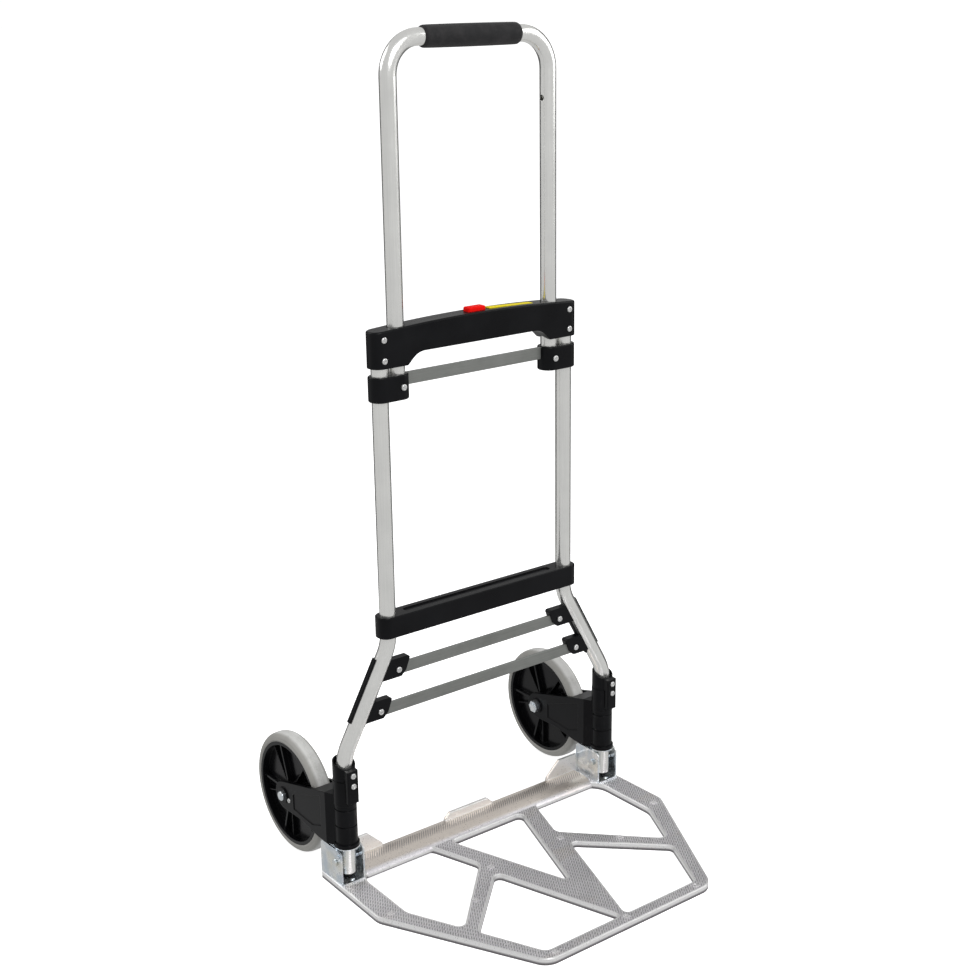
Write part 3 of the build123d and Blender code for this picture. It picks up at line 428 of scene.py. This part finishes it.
@dataclass(frozen=True)
class TyreRubber:
    """Solid grey rubber: a dusty face, a painted highlight on the running band and painted shade on the
    side walls.
    """

    name: str = "grey_tyre"
    # band is the painted highlight colour of the running band, wall the painted shade colour of the
    # side walls
    band: Colour = (0.60, 0.60, 0.585)
    wall: Colour = (0.34, 0.335, 0.315)
    scuff: Colour = (0.24, 0.235, 0.22)
    half_width: float = 0.0135
    centre_x: float = 0.230

    def build(self) -> bpy.types.Material:
        """Returns the material."""
        made = Shader(self.name)
        across = made.axis(made.node("ShaderNodeTexCoord", output="Object"), 0)
        size = made.node("ShaderNodeMath", {"operation": "ABSOLUTE"}, {0: across})
        off = made.node("ShaderNodeMath", {"operation": "ABSOLUTE"}, {0: size - self.centre_x})
        grain = made.noise(made.place(), 520.0, 4.0, 0.65)
        cloud = made.noise(made.place(), 40.0, 3.0)
        # Painted light: the running band is lightened and the side walls are darkened.
        edge = made.spread(off + cloud * 0.0012, self.half_width * 0.50, self.half_width * 0.78)
        tone = made.mix(edge, self.band, self.wall)
        scuffs = made.spread(cloud * 0.6 + grain * 0.4, 0.48, 0.72, 0.0, 0.5)
        tone = made.mix(scuffs, tone, self.scuff)
        normal = made.relief(grain, 0.00025, 0.7)
        return made.finish(Base_Color=tone, Roughness=made.rough(grain, 0.5, 0.68), Normal=normal)


@dataclass(frozen=True)
class GripFoam:
    """Closed-cell foam: dark, matte and finely pitted."""

    name: str = "grip_foam"
    base: Colour = (0.006, 0.006, 0.007)
    worn: Colour = (0.022, 0.021, 0.022)

    def build(self) -> bpy.types.Material:
        """Returns the material."""
        made = Shader(self.name)
        cells = made.node("ShaderNodeTexVoronoi", {"feature": "F1"}, {
            "Vector": made.place(), "Scale": 900.0, "Randomness": 1.0})
        cloud = made.noise(made.place(), 60.0, 3.0)
        tone = made.mix(made.spread(cloud + cells * 0.3, 0.5, 0.85), self.base, self.worn)
        normal = made.relief(cells * 0.7 + cloud * 0.6, 0.0004, 0.8)
        return made.finish(Base_Color=tone, Roughness=made.rough(cloud, 0.7, 0.85),
                           Specular_IOR_Level=0.25, Sheen_Weight=0.08, Normal=normal)


@dataclass(frozen=True)
class PrintedFilm:
    """Printed yellow film with a faint print screen and paler rubbed patches."""

    name: str = "yellow_film"
    ink: Colour = (0.74, 0.60, 0.006)
    rubbed: Colour = (0.80, 0.67, 0.03)

    def build(self) -> bpy.types.Material:
        """Returns the material."""
        made = Shader(self.name)
        screen = made.noise(made.place(), 2400.0, 1.0)
        cloud = made.noise(made.place((1, 4, 4)), 60.0, 3.0)
        tone = made.mix(made.spread(cloud * 0.7 + screen * 0.3, 0.42, 0.68), self.ink, self.rubbed)
        return made.finish(Base_Color=tone, Roughness=made.rough(cloud, 0.34, 0.48),
                           Specular_IOR_Level=0.02, Normal=made.relief(screen, 0.00003, 0.4))


class Finish(Enum):
    """The finishes of the hand truck, each with its recipe."""

    TUBE = DrawnAluminium("satin_tube", (0.90, 0.90, 0.875), (0.82, 0.82, 0.80), 0.2, 0.9)
    BAR = DrawnAluminium("matte_bar", (0.255, 0.262, 0.25), (0.205, 0.212, 0.20), 0.42, 0.7,
                         streaks=(18.0, 900.0, 900.0))
    CAST = CastAluminium()
    ZINC = ZincPlate()
    SCREW = ScrewSteel()
    PLASTIC = MouldedPlastic("black_moulding", (0.0018, 0.0019, 0.0026), (0.006, 0.0063, 0.0075),
                             0.3, 0.00006, sheen_level=0.14)
    GLOSS = MouldedPlastic("gloss_black", (0.0025, 0.0025, 0.003), (0.006, 0.006, 0.007), 0.2, 0.00002,
                           coat=0.06, sheen_level=0.16)
    BUSH = MouldedPlastic("bearing_plastic", (0.03, 0.03, 0.03), (0.05, 0.05, 0.05), 0.45, 0.00005)
    BUTTON = MouldedPlastic("button_red", (0.74, 0.006, 0.004), (0.80, 0.010, 0.008), 0.4, 0.00003,
                            sheen_level=0.02)
    LABEL = PrintedFilm()
    FOAM = GripFoam()
    TYRE = TyreRubber()

    def material(self) -> bpy.types.Material:
        """Returns the material, built once."""
        known = bpy.data.materials.get(self.value.name)
        return known if known else self.value.build()


SLOT_FINISH = {
    "aluminium_tube": Finish.TUBE,
    "aluminium_bar": Finish.BAR,
    "cast_plate": Finish.CAST,
    "zinc_plated_steel": Finish.ZINC,
    "bright_screw_steel": Finish.SCREW,
    "black_plastic": Finish.PLASTIC,
    "gloss_black_plastic": Finish.GLOSS,
    "bush_plastic": Finish.BUSH,
    "red_plastic": Finish.BUTTON,
    "yellow_label": Finish.LABEL,
    "foam": Finish.FOAM,
    "tyre_rubber": Finish.TYRE,
}


# ---------------------------------------------------------------- mesh helpers
def settle(mesh: bpy.types.Mesh, name: str, body: str, finish: Finish,
           smooth: bool = True) -> bpy.types.Object:
    """Makes an object of a mesh, dresses it and lets it ride on a body.

    Args:
        mesh: The mesh, in the shared frame.
        name: The piece's name.
        body: The body it moves with.
        finish: Its finish.
        smooth: Whether its faces are shaded smooth.

    Returns:
        The object.
    """
    piece = linked(name, mesh)
    mesh.materials.clear()
    mesh.materials.append(finish.material())
    for polygon in mesh.polygons:
        polygon.use_smooth = smooth
        polygon.material_index = 0
    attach(piece, body)
    LOG.info("piece %s rides on %s, %d faces", name, body, len(mesh.polygons))
    return piece


def as_mesh(made: bmesh.types.BMesh, name: str) -> bpy.types.Mesh:
    """Turns a bmesh into a plain mesh of that name."""
    mesh = bpy.data.meshes.new(name)
    made.to_mesh(mesh)
    made.free()
    return mesh


def linked(name: str, data: bpy.types.ID) -> bpy.types.Object:
    """Makes an object of a mesh, a lamp or a camera and links it into the scene."""
    thing = bpy.data.objects.new(name, data)
    bpy.context.scene.collection.objects.link(thing)
    return thing


def lathe(name: str, profile: Sequence[Point], centre: Vector, segments: int) -> bpy.types.Mesh:
    """Turns a closed profile about an axis along X.

    Args:
        name: The mesh's name.
        profile: (offset along X, radius) corners of the closed section, in metres.
        centre: A point on the axis.
        segments: Steps round the axis.

    Returns:
        A closed mesh with outward normals.
    """
    made = bmesh.new()
    rings = []
    for step in range(segments):
        angle = math.tau * step / segments
        rings.append([
            made.verts.new(centre + Vector((
                along, radius * math.cos(angle), radius * math.sin(angle))))
            for along, radius in profile
        ])
    count = len(profile)
    for step in range(segments):
        here, there = rings[step], rings[(step + 1) % segments]
        for index in range(count):
            after = (index + 1) % count
            made.faces.new((here[index], here[after], there[after], there[index]))
    bmesh.ops.recalc_face_normals(made, faces=made.faces)
    return as_mesh(made, name)


def arc(centre: Point, radius: float, start: float, end: float, steps: int) -> list[Point]:
    """Points on an arc.

    Args:
        centre: Its centre.
        radius: Its radius.
        start: First angle, in degrees.
        end: Last angle, in degrees.
        steps: Number of steps.

    Returns:
        The points, both ends included.
    """
    points = []
    for step in range(steps + 1):
        angle = math.radians(start + (end - start) * step / steps)
        points.append((centre[0] + radius * math.cos(angle), centre[1] + radius * math.sin(angle)))
    return points


class Tree:
    """Builds one Geometry Nodes tree with named inputs."""

    def __init__(self, name: str, inputs: Iterable[tuple[str, str]]) -> None:
        """Starts a tree that takes and returns geometry.

        Args:
            name: The tree's name.
            inputs: (name, socket type) of each further input.
        """
        self.tree = bpy.data.node_groups.new(name, "GeometryNodeTree")
        sockets = self.tree.interface
        sockets.new_socket("Geometry", in_out="INPUT", socket_type="NodeSocketGeometry")
        self.identifiers = {}
        for label, kind in inputs:
            item = sockets.new_socket(label, in_out="INPUT", socket_type=kind)
            self.identifiers[label] = item.identifier
        sockets.new_socket("Geometry", in_out="OUTPUT", socket_type="NodeSocketGeometry")
        self.source = self.tree.nodes.new("NodeGroupInput")
        self.result = self.tree.nodes.new("NodeGroupOutput")

    def given(self, label: str) -> bpy.types.NodeSocket:
        """The group input of that name."""
        return self.source.outputs[label]

    def node(self, kind: str, settings: dict | None = None,
             inputs: dict | None = None) -> bpy.types.Node:
        """Adds a node, its settings first.

        Args:
            kind: The node's type.
            settings: Properties of the node.
            inputs: Socket name or number to a value or an output socket.

        Returns:
            The node.
        """
        made = self.tree.nodes.new(kind)
        for key, value in (settings or {}).items():
            setattr(made, key, value)
        for key, value in (inputs or {}).items():
            if isinstance(value, bpy.types.NodeSocket):
                self.tree.links.new(value, made.inputs[key])
            else:
                made.inputs[key].default_value = value
        return made

    def close(self, instances: bpy.types.NodeSocket, material: bpy.types.Material) -> None:
        """Ends the tree with Realize Instances and Set Material.

        Args:
            instances: The geometry to finish.
            material: Its material.
        """
        real = self.node("GeometryNodeRealizeInstances", inputs={"Geometry": instances})
        dressed = self.node("GeometryNodeSetMaterial", inputs={
            "Geometry": real.outputs["Geometry"], "Material": material})
        self.tree.links.new(dressed.outputs["Geometry"], self.result.inputs["Geometry"])

    def run(self, mesh: bpy.types.Mesh, values: dict, name: str) -> bpy.types.Mesh:
        """Runs the tree on a mesh.

        Args:
            mesh: The geometry that goes in.
            values: Input name to value.
            name: Name of the mesh that comes out.

        Returns:
            A plain mesh.
        """
        holder = linked(f"{name}_holder", mesh)
        modifier = holder.modifiers.new("rule", "NODES")
        modifier.node_group = self.tree
        for label, value in values.items():
            modifier[self.identifiers[label]] = value
        bpy.context.view_layer.update()
        evaluated = holder.evaluated_get(bpy.context.evaluated_depsgraph_get())
        made = bpy.data.meshes.new_from_object(evaluated)
        made.name = name
        holder.modifiers.remove(modifier)
        bpy.data.objects.remove(holder)
        return made


def merged_copy(node: str) -> bpy.types.Mesh:
    """A copy of a node's mesh with its doubles merged.

    Args:
        node: The node.

    Returns:
        The copy.
    """
    made = bmesh.new()
    made.from_mesh(frame["nodes"][node].data)
    bmesh.ops.remove_doubles(made, verts=made.verts, dist=1e-6)
    return as_mesh(made, f"{node}_copy")


# ---------------------------------------------------------------- sub-assemblies
@dataclass
class Frame:
    """The carried-over parts, each with the finish of its slot."""

    finishes: dict[str, Finish] = field(default_factory=lambda: dict(SLOT_FINISH))

    def dress(self) -> None:
        """Gives each node of the model the finish of its material slot."""
        slots = {row["node"]: row["material_slot"] for row in frame["record"]["subparts"]}
        for node, thing in frame["nodes"].items():
            finish = self.finishes[slots[node]]
            thing.data.materials.clear()
            thing.data.materials.append(finish.material())
            LOG.info("node %s has the finish %s", node, finish.name)


@dataclass
class FoamGrip:
    """The foam grip at the top of the handle."""

    end_radius: float = 4.5 * MM
    crown: float = 0.5 * MM
    bore: float = 11.03 * MM
    segments: int = 64
    stations: int = 40
    end_steps: int = 8
    fill: float = 0.9

    def build(self) -> bpy.types.Object:
        """Builds the grip in the place of its node.

        Returns:
            The grip.
        """
        low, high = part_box("foam_grip")
        centre = (low + high) / 2
        half = (high.x - low.x) / 2
        radius = (high.z - low.z) / 2 - self.crown
        bend_x, bend_r = half - self.end_radius, radius - self.end_radius
        profile = arc((-bend_x, bend_r), self.end_radius, 180, 90, self.end_steps)
        for step in range(1, self.stations):
            share = step / self.stations
            swell = self.crown * math.sin(math.pi * share) ** 0.5
            profile.append((bend_x * (2 * share - 1), radius + swell))
        profile += arc((bend_x, bend_r), self.end_radius, 90, 0, self.end_steps)
        profile += [(half, self.bore), (-half, self.bore)]
        name = "foam_grip_sleeve"
        piece = settle(lathe(name, profile, centre, self.segments), name, "handle", Finish.FOAM)
        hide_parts("foam_grip")
        return piece


@dataclass
class Wheel:
    """One wheel: its tyre, and the fine ribs on the faces of its hub.

    The tyre has a low ring on each side wall, a rounded shoulder and a fine groove on each side of
    its running band. ring_steps are the ring's corners, outward from the bead.
    """

    side: str
    shoulder_width: float = 10.0 * MM
    shoulder_height: float = 7.6 * MM
    shoulder_steps: int = 12
    ring_height: float = 0.7 * MM
    ring_steps: tuple[float, ...] = (1.2 * MM, 1.8 * MM, 3.2 * MM, 3.9 * MM)
    groove: float = 0.5 * MM
    groove_inset: float = 0.6 * MM
    bead_gap: float = 0.03 * MM
    segments: int = 128
    rib_count: int = 5
    rib_inner: float = 19.0 * MM
    rib_outer: float = 69.0 * MM
    rib_thick: float = 1.4 * MM
    rib_half: float = 8.0 * MM

    def tyre_profile(self, half: float, inner: float, outer: float) -> list[Point]:
        """Section of the tyre.

        Args:
            half: Half its width.
            inner: Its inner radius.
            outer: Its outer radius.

        Returns:
            Corners of the closed section.
        """
        flank = half - self.ring_height
        band = flank - self.shoulder_width
        wall_top = outer - self.shoulder_height
        squash = self.shoulder_height / self.shoulder_width
        left = [(-flank, inner)]
        left += [(-x, inner + step) for x, step in zip((flank, half, half, flank), self.ring_steps)]
        shoulder = arc((band, 0), self.shoulder_width, 0, 90, self.shoulder_steps)
        left += [(-x, wall_top + rise * squash) for x, rise in shoulder]
        for step, depth in enumerate((0.0, self.groove, 0.0)):
            left.append((self.groove_inset + step * self.groove - band, outer - depth))
        return left + [(-x, z) for x, z in reversed(left)]

    def build(self) -> list[bpy.types.Object]:
        """Builds the tyre and the hub ribs.

        Returns:
            The pieces.
        """
        node = f"{self.side}_tyre"
        low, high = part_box(node)
        centre = (low + high) / 2
        outer = (high.z - low.z) / 2
        half = (high.x - low.x) / 2
        hub_low, hub_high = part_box(f"{self.side}_wheel_hub")
        inner = (hub_high.z - hub_low.z) / 2 + self.bead_gap
        body = f"{self.side}_wheel"
        mesh = lathe(f"{node}_tread", self.tyre_profile(half, inner, outer), centre, self.segments)
        tyre = settle(mesh, f"{node}_tread", body, Finish.TYRE)
        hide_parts(node)
        ribs = settle(self.hub_ribs(centre), f"{self.side}_hub_ribs", body,
                      Finish.GLOSS, smooth=False)
        return [tyre, ribs]

    def hub_ribs(self, centre: Vector) -> bpy.types.Mesh:
        """Thin radial ribs in the dish of the hub, set out by a node tree.

        Args:
            centre: The hub's centre.

        Returns:
            The ribs.
        """
        rule = Tree("hub_ribs_rule", [
            ("Count", "NodeSocketInt"), ("Middle radius", "NodeSocketFloat"),
            ("Size", "NodeSocketVector"), ("Centre", "NodeSocketVector")])
        circle = rule.node("GeometryNodeMeshCircle", inputs={
            "Vertices": rule.given("Count"), "Radius": rule.given("Middle radius")})
        rib = rule.node("GeometryNodeMeshCube", inputs={"Size": rule.given("Size")})
        place = rule.node("GeometryNodeInputPosition")
        turn = rule.node("FunctionNodeAlignEulerToVector", {"axis": "X"}, {
            "Vector": place.outputs[0]})
        copies = rule.node("GeometryNodeInstanceOnPoints", inputs={
            "Points": circle.outputs["Mesh"], "Instance": rib.outputs["Mesh"],
            "Rotation": turn.outputs[0]})
        stood = rule.node("GeometryNodeTransform", inputs={
            "Geometry": copies.outputs["Instances"], "Translation": rule.given("Centre"),
            "Rotation": (0.0, math.pi / 2, 0.0)})
        rule.close(stood.outputs["Geometry"], Finish.GLOSS.material())
        middle = (self.rib_inner + self.rib_outer) / 2
        size = (self.rib_outer - self.rib_inner, self.rib_thick, 2 * self.rib_half)
        return rule.run(bpy.data.meshes.new("hub_seed"), {
            "Count": self.rib_count, "Middle radius": middle, "Size": size,
            "Centre": tuple(centre)}, f"{self.side}_hub_ribs")


@dataclass
class NosePlate:
    """Fine raised serrations and small square marks on the cast plate."""

    pitch: float = 3.6 * MM
    tooth: tuple[float, float, float] = (3.3 * MM, 1.3 * MM, 0.6 * MM)
    clear: float = 4.6 * MM
    thick: float = 9.5 * MM
    turn: float = 32.0
    wobble: tuple[float, float] = (0.50, 0.62)
    seed: int = 7
    probes: int = 6
    probe_height: float = 0.1
    level_slack: float = 0.2 * MM
    grid_margin: float = 1.25
    mark_side: float = 9.0 * MM
    mark_height: float = 0.8 * MM
    mark_root: float = 0.2 * MM
    marks: tuple[tuple[float, float], ...] = (
        (0.2358, 0.1507), (0.1229, 0.3515), (0.0627, 0.1414), (0.1293, 0.1935), (0.0, 0.3482))

    def teeth(self) -> bpy.types.Mesh:
        """Rows of short teeth wherever the plate's flat top lies under a grid, clear of its edges.

        Returns:
            The teeth.
        """
        low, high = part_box("nose_plate")
        top = low.z + self.thick
        rule = Tree("serration_rule", [
            ("Span", "NodeSocketFloat"), ("Rows", "NodeSocketInt"), ("Turn", "NodeSocketFloat"),
            ("Tooth", "NodeSocketVector"), ("Centre", "NodeSocketVector"), ("Top", "NodeSocketFloat"),
            ("Clear", "NodeSocketFloat")])
        grid = rule.node("GeometryNodeMeshGrid", inputs={
            "Size X": rule.given("Span"), "Size Y": rule.given("Span"),
            "Vertices X": rule.given("Rows"), "Vertices Y": rule.given("Rows")})
        heading = rule.node("ShaderNodeCombineXYZ", inputs={"Z": rule.given("Turn")})
        laid = rule.node("GeometryNodeTransform", inputs={
            "Geometry": grid.outputs["Mesh"], "Rotation": heading.outputs[0],
            "Translation": rule.given("Centre")})
        position = rule.node("GeometryNodeInputPosition")
        keep = None
        for step in range(self.probes):
            angle = math.tau * step / self.probes
            reach = rule.node("ShaderNodeVectorMath", {"operation": "SCALE"}, {
                0: (math.cos(angle), math.sin(angle), 0.0), "Scale": rule.given("Clear")})
            start = rule.node("ShaderNodeVectorMath", {"operation": "ADD"}, {
                0: position.outputs[0], 1: reach.outputs[0]})
            ray = rule.node("GeometryNodeRaycast", {"data_type": "FLOAT"}, {
                "Target Geometry": rule.given("Geometry"), "Source Position": start.outputs[0],
                "Ray Direction": (0.0, 0.0, -1.0), "Ray Length": 1.0})
            height = rule.node("ShaderNodeSeparateXYZ", inputs={0: ray.outputs["Hit Position"]})
            level = rule.node("FunctionNodeCompare", {"data_type": "FLOAT", "operation": "EQUAL"}, {
                0: height.outputs[2], 1: rule.given("Top"), "Epsilon": self.level_slack})
            both = rule.node("FunctionNodeBooleanMath", {"operation": "AND"}, {
                0: ray.outputs["Is Hit"], 1: level.outputs[0]})
            if keep is None:
                keep = both
            else:
                keep = rule.node("FunctionNodeBooleanMath", {"operation": "AND"}, {
                    0: keep.outputs[0], 1: both.outputs[0]})
        points = rule.node("GeometryNodeMeshToPoints", inputs={
            "Mesh": laid.outputs["Geometry"], "Selection": keep.outputs[0]})
        lowered = rule.node("GeometryNodeTransform", inputs={
            "Geometry": points.outputs["Points"], "Translation": (0.0, 0.0, -self.probe_height)})
        tooth = rule.node("GeometryNodeMeshCube", inputs={"Size": rule.given("Tooth")})
        wobble = rule.node("FunctionNodeRandomValue", {"data_type": "FLOAT_VECTOR"}, {
            0: (0.0, 0.0, self.wobble[0]), 1: (0.0, 0.0, self.wobble[1]), "Seed": self.seed})
        copies = rule.node("GeometryNodeInstanceOnPoints", inputs={
            "Points": lowered.outputs["Geometry"], "Instance": tooth.outputs["Mesh"],
            "Rotation": wobble.outputs[0]})
        rule.close(copies.outputs["Instances"], Finish.CAST.material())
        span = self.grid_margin * max(high.x - low.x, high.y - low.y)
        centre = (low + high) / 2
        return rule.run(merged_copy("nose_plate"), {
            "Span": span, "Rows": int(span / self.pitch), "Turn": math.radians(self.turn),
            "Tooth": self.tooth, "Centre": (centre.x, centre.y, top + self.probe_height), "Top": top,
            "Clear": self.clear}, "plate_serrations")

    def mark(self, made: bmesh.types.BMesh, centre: Vector) -> None:
        """Adds one low square mark with a sunk middle.

        Args:
            made: The mesh that is being built.
            centre: Middle of the mark, on the plate's top.
        """
        half, rise = self.mark_side / 2, self.mark_height
        loops = []
        for size, height in ((half, -self.mark_root), (half * 0.9, rise), (half * 0.6, rise),
                             (half * 0.5, rise * 0.3)):
            loops.append([made.verts.new(centre + Vector((x * size, y * size, height)))
                          for x, y in ((-1, -1), (1, -1), (1, 1), (-1, 1))])
        for lower, upper in zip(loops, loops[1:]):
            for index in range(4):
                after = (index + 1) % 4
                made.faces.new((lower[index], lower[after], upper[after], upper[index]))
        made.faces.new(loops[-1])
        made.faces.new(loops[0][::-1])

    def build(self) -> list[bpy.types.Object]:
        """Builds the teeth and the marks.

        Returns:
            The pieces.
        """
        teeth = settle(self.teeth(), "plate_serrations", "toe_plate", Finish.CAST,
                       smooth=False)
        low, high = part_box("nose_plate")
        made = bmesh.new()
        for along, forward in self.marks:
            for side in (-1, 1) if along else (1,):
                self.mark(made, Vector((side * along, high.y - forward, low.z + self.thick)))
        marks = settle(as_mesh(made, "plate_marks"), "plate_marks", "toe_plate",
                       Finish.CAST, smooth=False)
        return [teeth, marks]


# ---------------------------------------------------------------- light, floor and camera
@dataclass
class Studio:
    """Pale floor, white dome, dark reflection cards, soft lamps and the camera.

    The heading is clockwise from +Y and the pitch is downward, both in radians. Each lamp has a name,
    a place, a side in metres and a power in watts.
    """

    heading: float = 0.6534
    pitch: float = 0.303
    roll: float = -0.0141
    distance: float = 2.1495
    aim: tuple[float, float, float] = (0.0135, 0.0, 0.5209)
    lens: float = 58.832
    sensor: float = 36.0
    far: float = 1000.0
    floor_size: float = 160.0
    floor_gap: float = 0.4 * MM
    floor_glow: float = 0.62
    dome_radius: float = 60.0
    air: float = 0.58
    card_ahead: float = 2.4
    card_aside: float = 1.9
    card_middle: float = 0.9
    card_size: tuple[float, float] = (2.7, 3.4)
    lamps: tuple[tuple[str, Colour, float, float], ...] = (
        ("key_lamp", (-0.6, -2.6, 2.6), 1.8, 60.0),
        ("fill_lamp", (2.4, -1.2, 1.8), 2.0, 26.0),
        ("rim_lamp", (-1.6, 2.0, 2.2), 1.6, 20.0))

    def stand(self, name: str, mesh: bpy.types.Mesh, material: bpy.types.Material,
              hidden: Sequence[str]) -> None:
        """Puts one piece of the studio in the scene.

        Args:
            name: Its name.
            mesh: Its mesh.
            material: Its material.
            hidden: The kinds of ray that pass it by.
        """
        mesh.materials.append(material)
        thing = linked(name, mesh)
        for kind in hidden:
            setattr(thing, f"visible_{kind}", False)

    def sheet(self, name: str, middle: Vector, across: Vector, along: Vector) -> bpy.types.Mesh:
        """A flat rectangle.

        Args:
            name: The mesh's name.
            middle: Its middle.
            across: From the middle to the middle of one side.
            along: From the middle to the middle of the next side.

        Returns:
            The mesh.
        """
        mesh = bpy.data.meshes.new(name)
        corners = [middle + across * x + along * y for x, y in ((-1, -1), (1, -1), (1, 1), (-1, 1))]
        mesh.from_pydata(corners, [], [(0, 1, 2, 3)])
        return mesh

    def floor(self) -> None:
        """Lays a wide pale floor just under the wheels."""
        half = self.floor_size / 2
        mesh = self.sheet("studio_floor", Vector((0, 0, CAD_BOUNDS[0].z - self.floor_gap)),
                          Vector((half, 0, 0)), Vector((0, half, 0)))
        white = Shader("studio_floor_white").finish(
            Base_Color=(0.93, 0.93, 0.93), Roughness=0.9, Specular_IOR_Level=0.1,
            Emission_Color=(1.0, 1.0, 1.0), Emission_Strength=self.floor_glow)
        self.stand("studio_floor", mesh, white, ("diffuse", "glossy"))

    def dome(self) -> None:
        """Sets a plain white dome that closes the view above the floor."""
        made = bmesh.new()
        bmesh.ops.create_icosphere(made, subdivisions=4, radius=self.dome_radius)
        white = Shader("studio_dome_white").finish(
            Base_Color=(0, 0, 0), Emission_Color=(1.0, 1.0, 1.0), Emission_Strength=1.0)
        self.stand("studio_dome", as_mesh(made, "studio_dome"), white, ("diffuse", "glossy", "shadow"))

    def card(self, name: str, middle: Vector) -> None:
        """Stands up a dark card, seen only in reflections, that draws dark edges on the tubes.

        Args:
            name: Its name.
            middle: Its middle.
        """
        out = (middle - Vector((self.aim[0], self.aim[1], middle.z))).normalized()
        width, height = self.card_size
        mesh = self.sheet(name, middle, out.cross(Vector((0, 0, 1))) * width / 2,
                          Vector((0, 0, height / 2)))
        grey = Shader(f"{name}_grey").finish(Base_Color=(0.03, 0.03, 0.03), Roughness=0.9)
        self.stand(name, mesh, grey, ("camera", "diffuse", "shadow"))

    def lamp(self, name: str, place: Sequence[float], size: float, power: float) -> None:
        """Adds a large soft lamp that faces the object.

        Args:
            name: Its name.
            place: Where it stands.
            size: Its side.
            power: Its power in watts.
        """
        data = bpy.data.lights.new(name, "AREA")
        data.shape = "SQUARE"
        data.size = size
        data.energy = power
        lamp = linked(name, data)
        lamp.location = place
        lamp.rotation_euler = (Vector(self.aim) - Vector(place)).to_track_quat("-Z", "Y").to_euler()

    def camera(self) -> None:
        """Places the camera and makes it the scene's."""
        forward = Vector((math.sin(self.heading) * math.cos(self.pitch),
                          math.cos(self.heading) * math.cos(self.pitch), -math.sin(self.pitch)))
        level = Vector((math.cos(self.heading), -math.sin(self.heading), 0))
        up = level.cross(forward)
        right = level * math.cos(self.roll) + up * math.sin(self.roll)
        top = up * math.cos(self.roll) - level * math.sin(self.roll)
        data = bpy.data.cameras.new("camera")
        data.lens = self.lens
        data.sensor_width = self.sensor
        data.clip_end = self.far
        camera = linked("camera", data)
        turn = Matrix((right, top, -forward)).transposed()
        place = Matrix.Translation(Vector(self.aim) - forward * self.distance)
        camera.matrix_world = place @ turn.to_4x4()
        bpy.context.scene.camera = camera

    def build(self) -> None:
        """Sets the whole studio."""
        world = bpy.data.worlds.new("studio_air")
        world.use_nodes = True
        world.node_tree.nodes["Background"].inputs["Color"].default_value = (1.0, 1.0, 1.0, 1.0)
        world.node_tree.nodes["Background"].inputs["Strength"].default_value = self.air
        bpy.context.scene.world = world
        bpy.context.scene.view_settings.view_transform = "Standard"
        self.floor()
        self.dome()
        forward = Vector((math.sin(self.heading), math.cos(self.heading), 0))
        side = Vector((math.cos(self.heading), -math.sin(self.heading), 0))
        for name, sign in (("left_card", -1), ("right_card", 1)):
            away = forward * self.card_ahead + side * sign * self.card_aside
            self.card(name, away + Vector((0, 0, self.card_middle)))
        for lamp in self.lamps:
            self.lamp(*lamp)
        self.camera()


def main() -> None:
    """Builds the hand truck's looks in order."""
    logging.basicConfig(level=logging.INFO, format="%(name)s %(message)s")
    builders: list[Callable[[], object]] = [
        Frame().dress,
        FoamGrip().build,
        Wheel("left").build,
        Wheel("right").build,
        NosePlate().build,
        Studio().build,
    ]
    for build in builders:
        build()


if __name__ == "__main__":
    main()
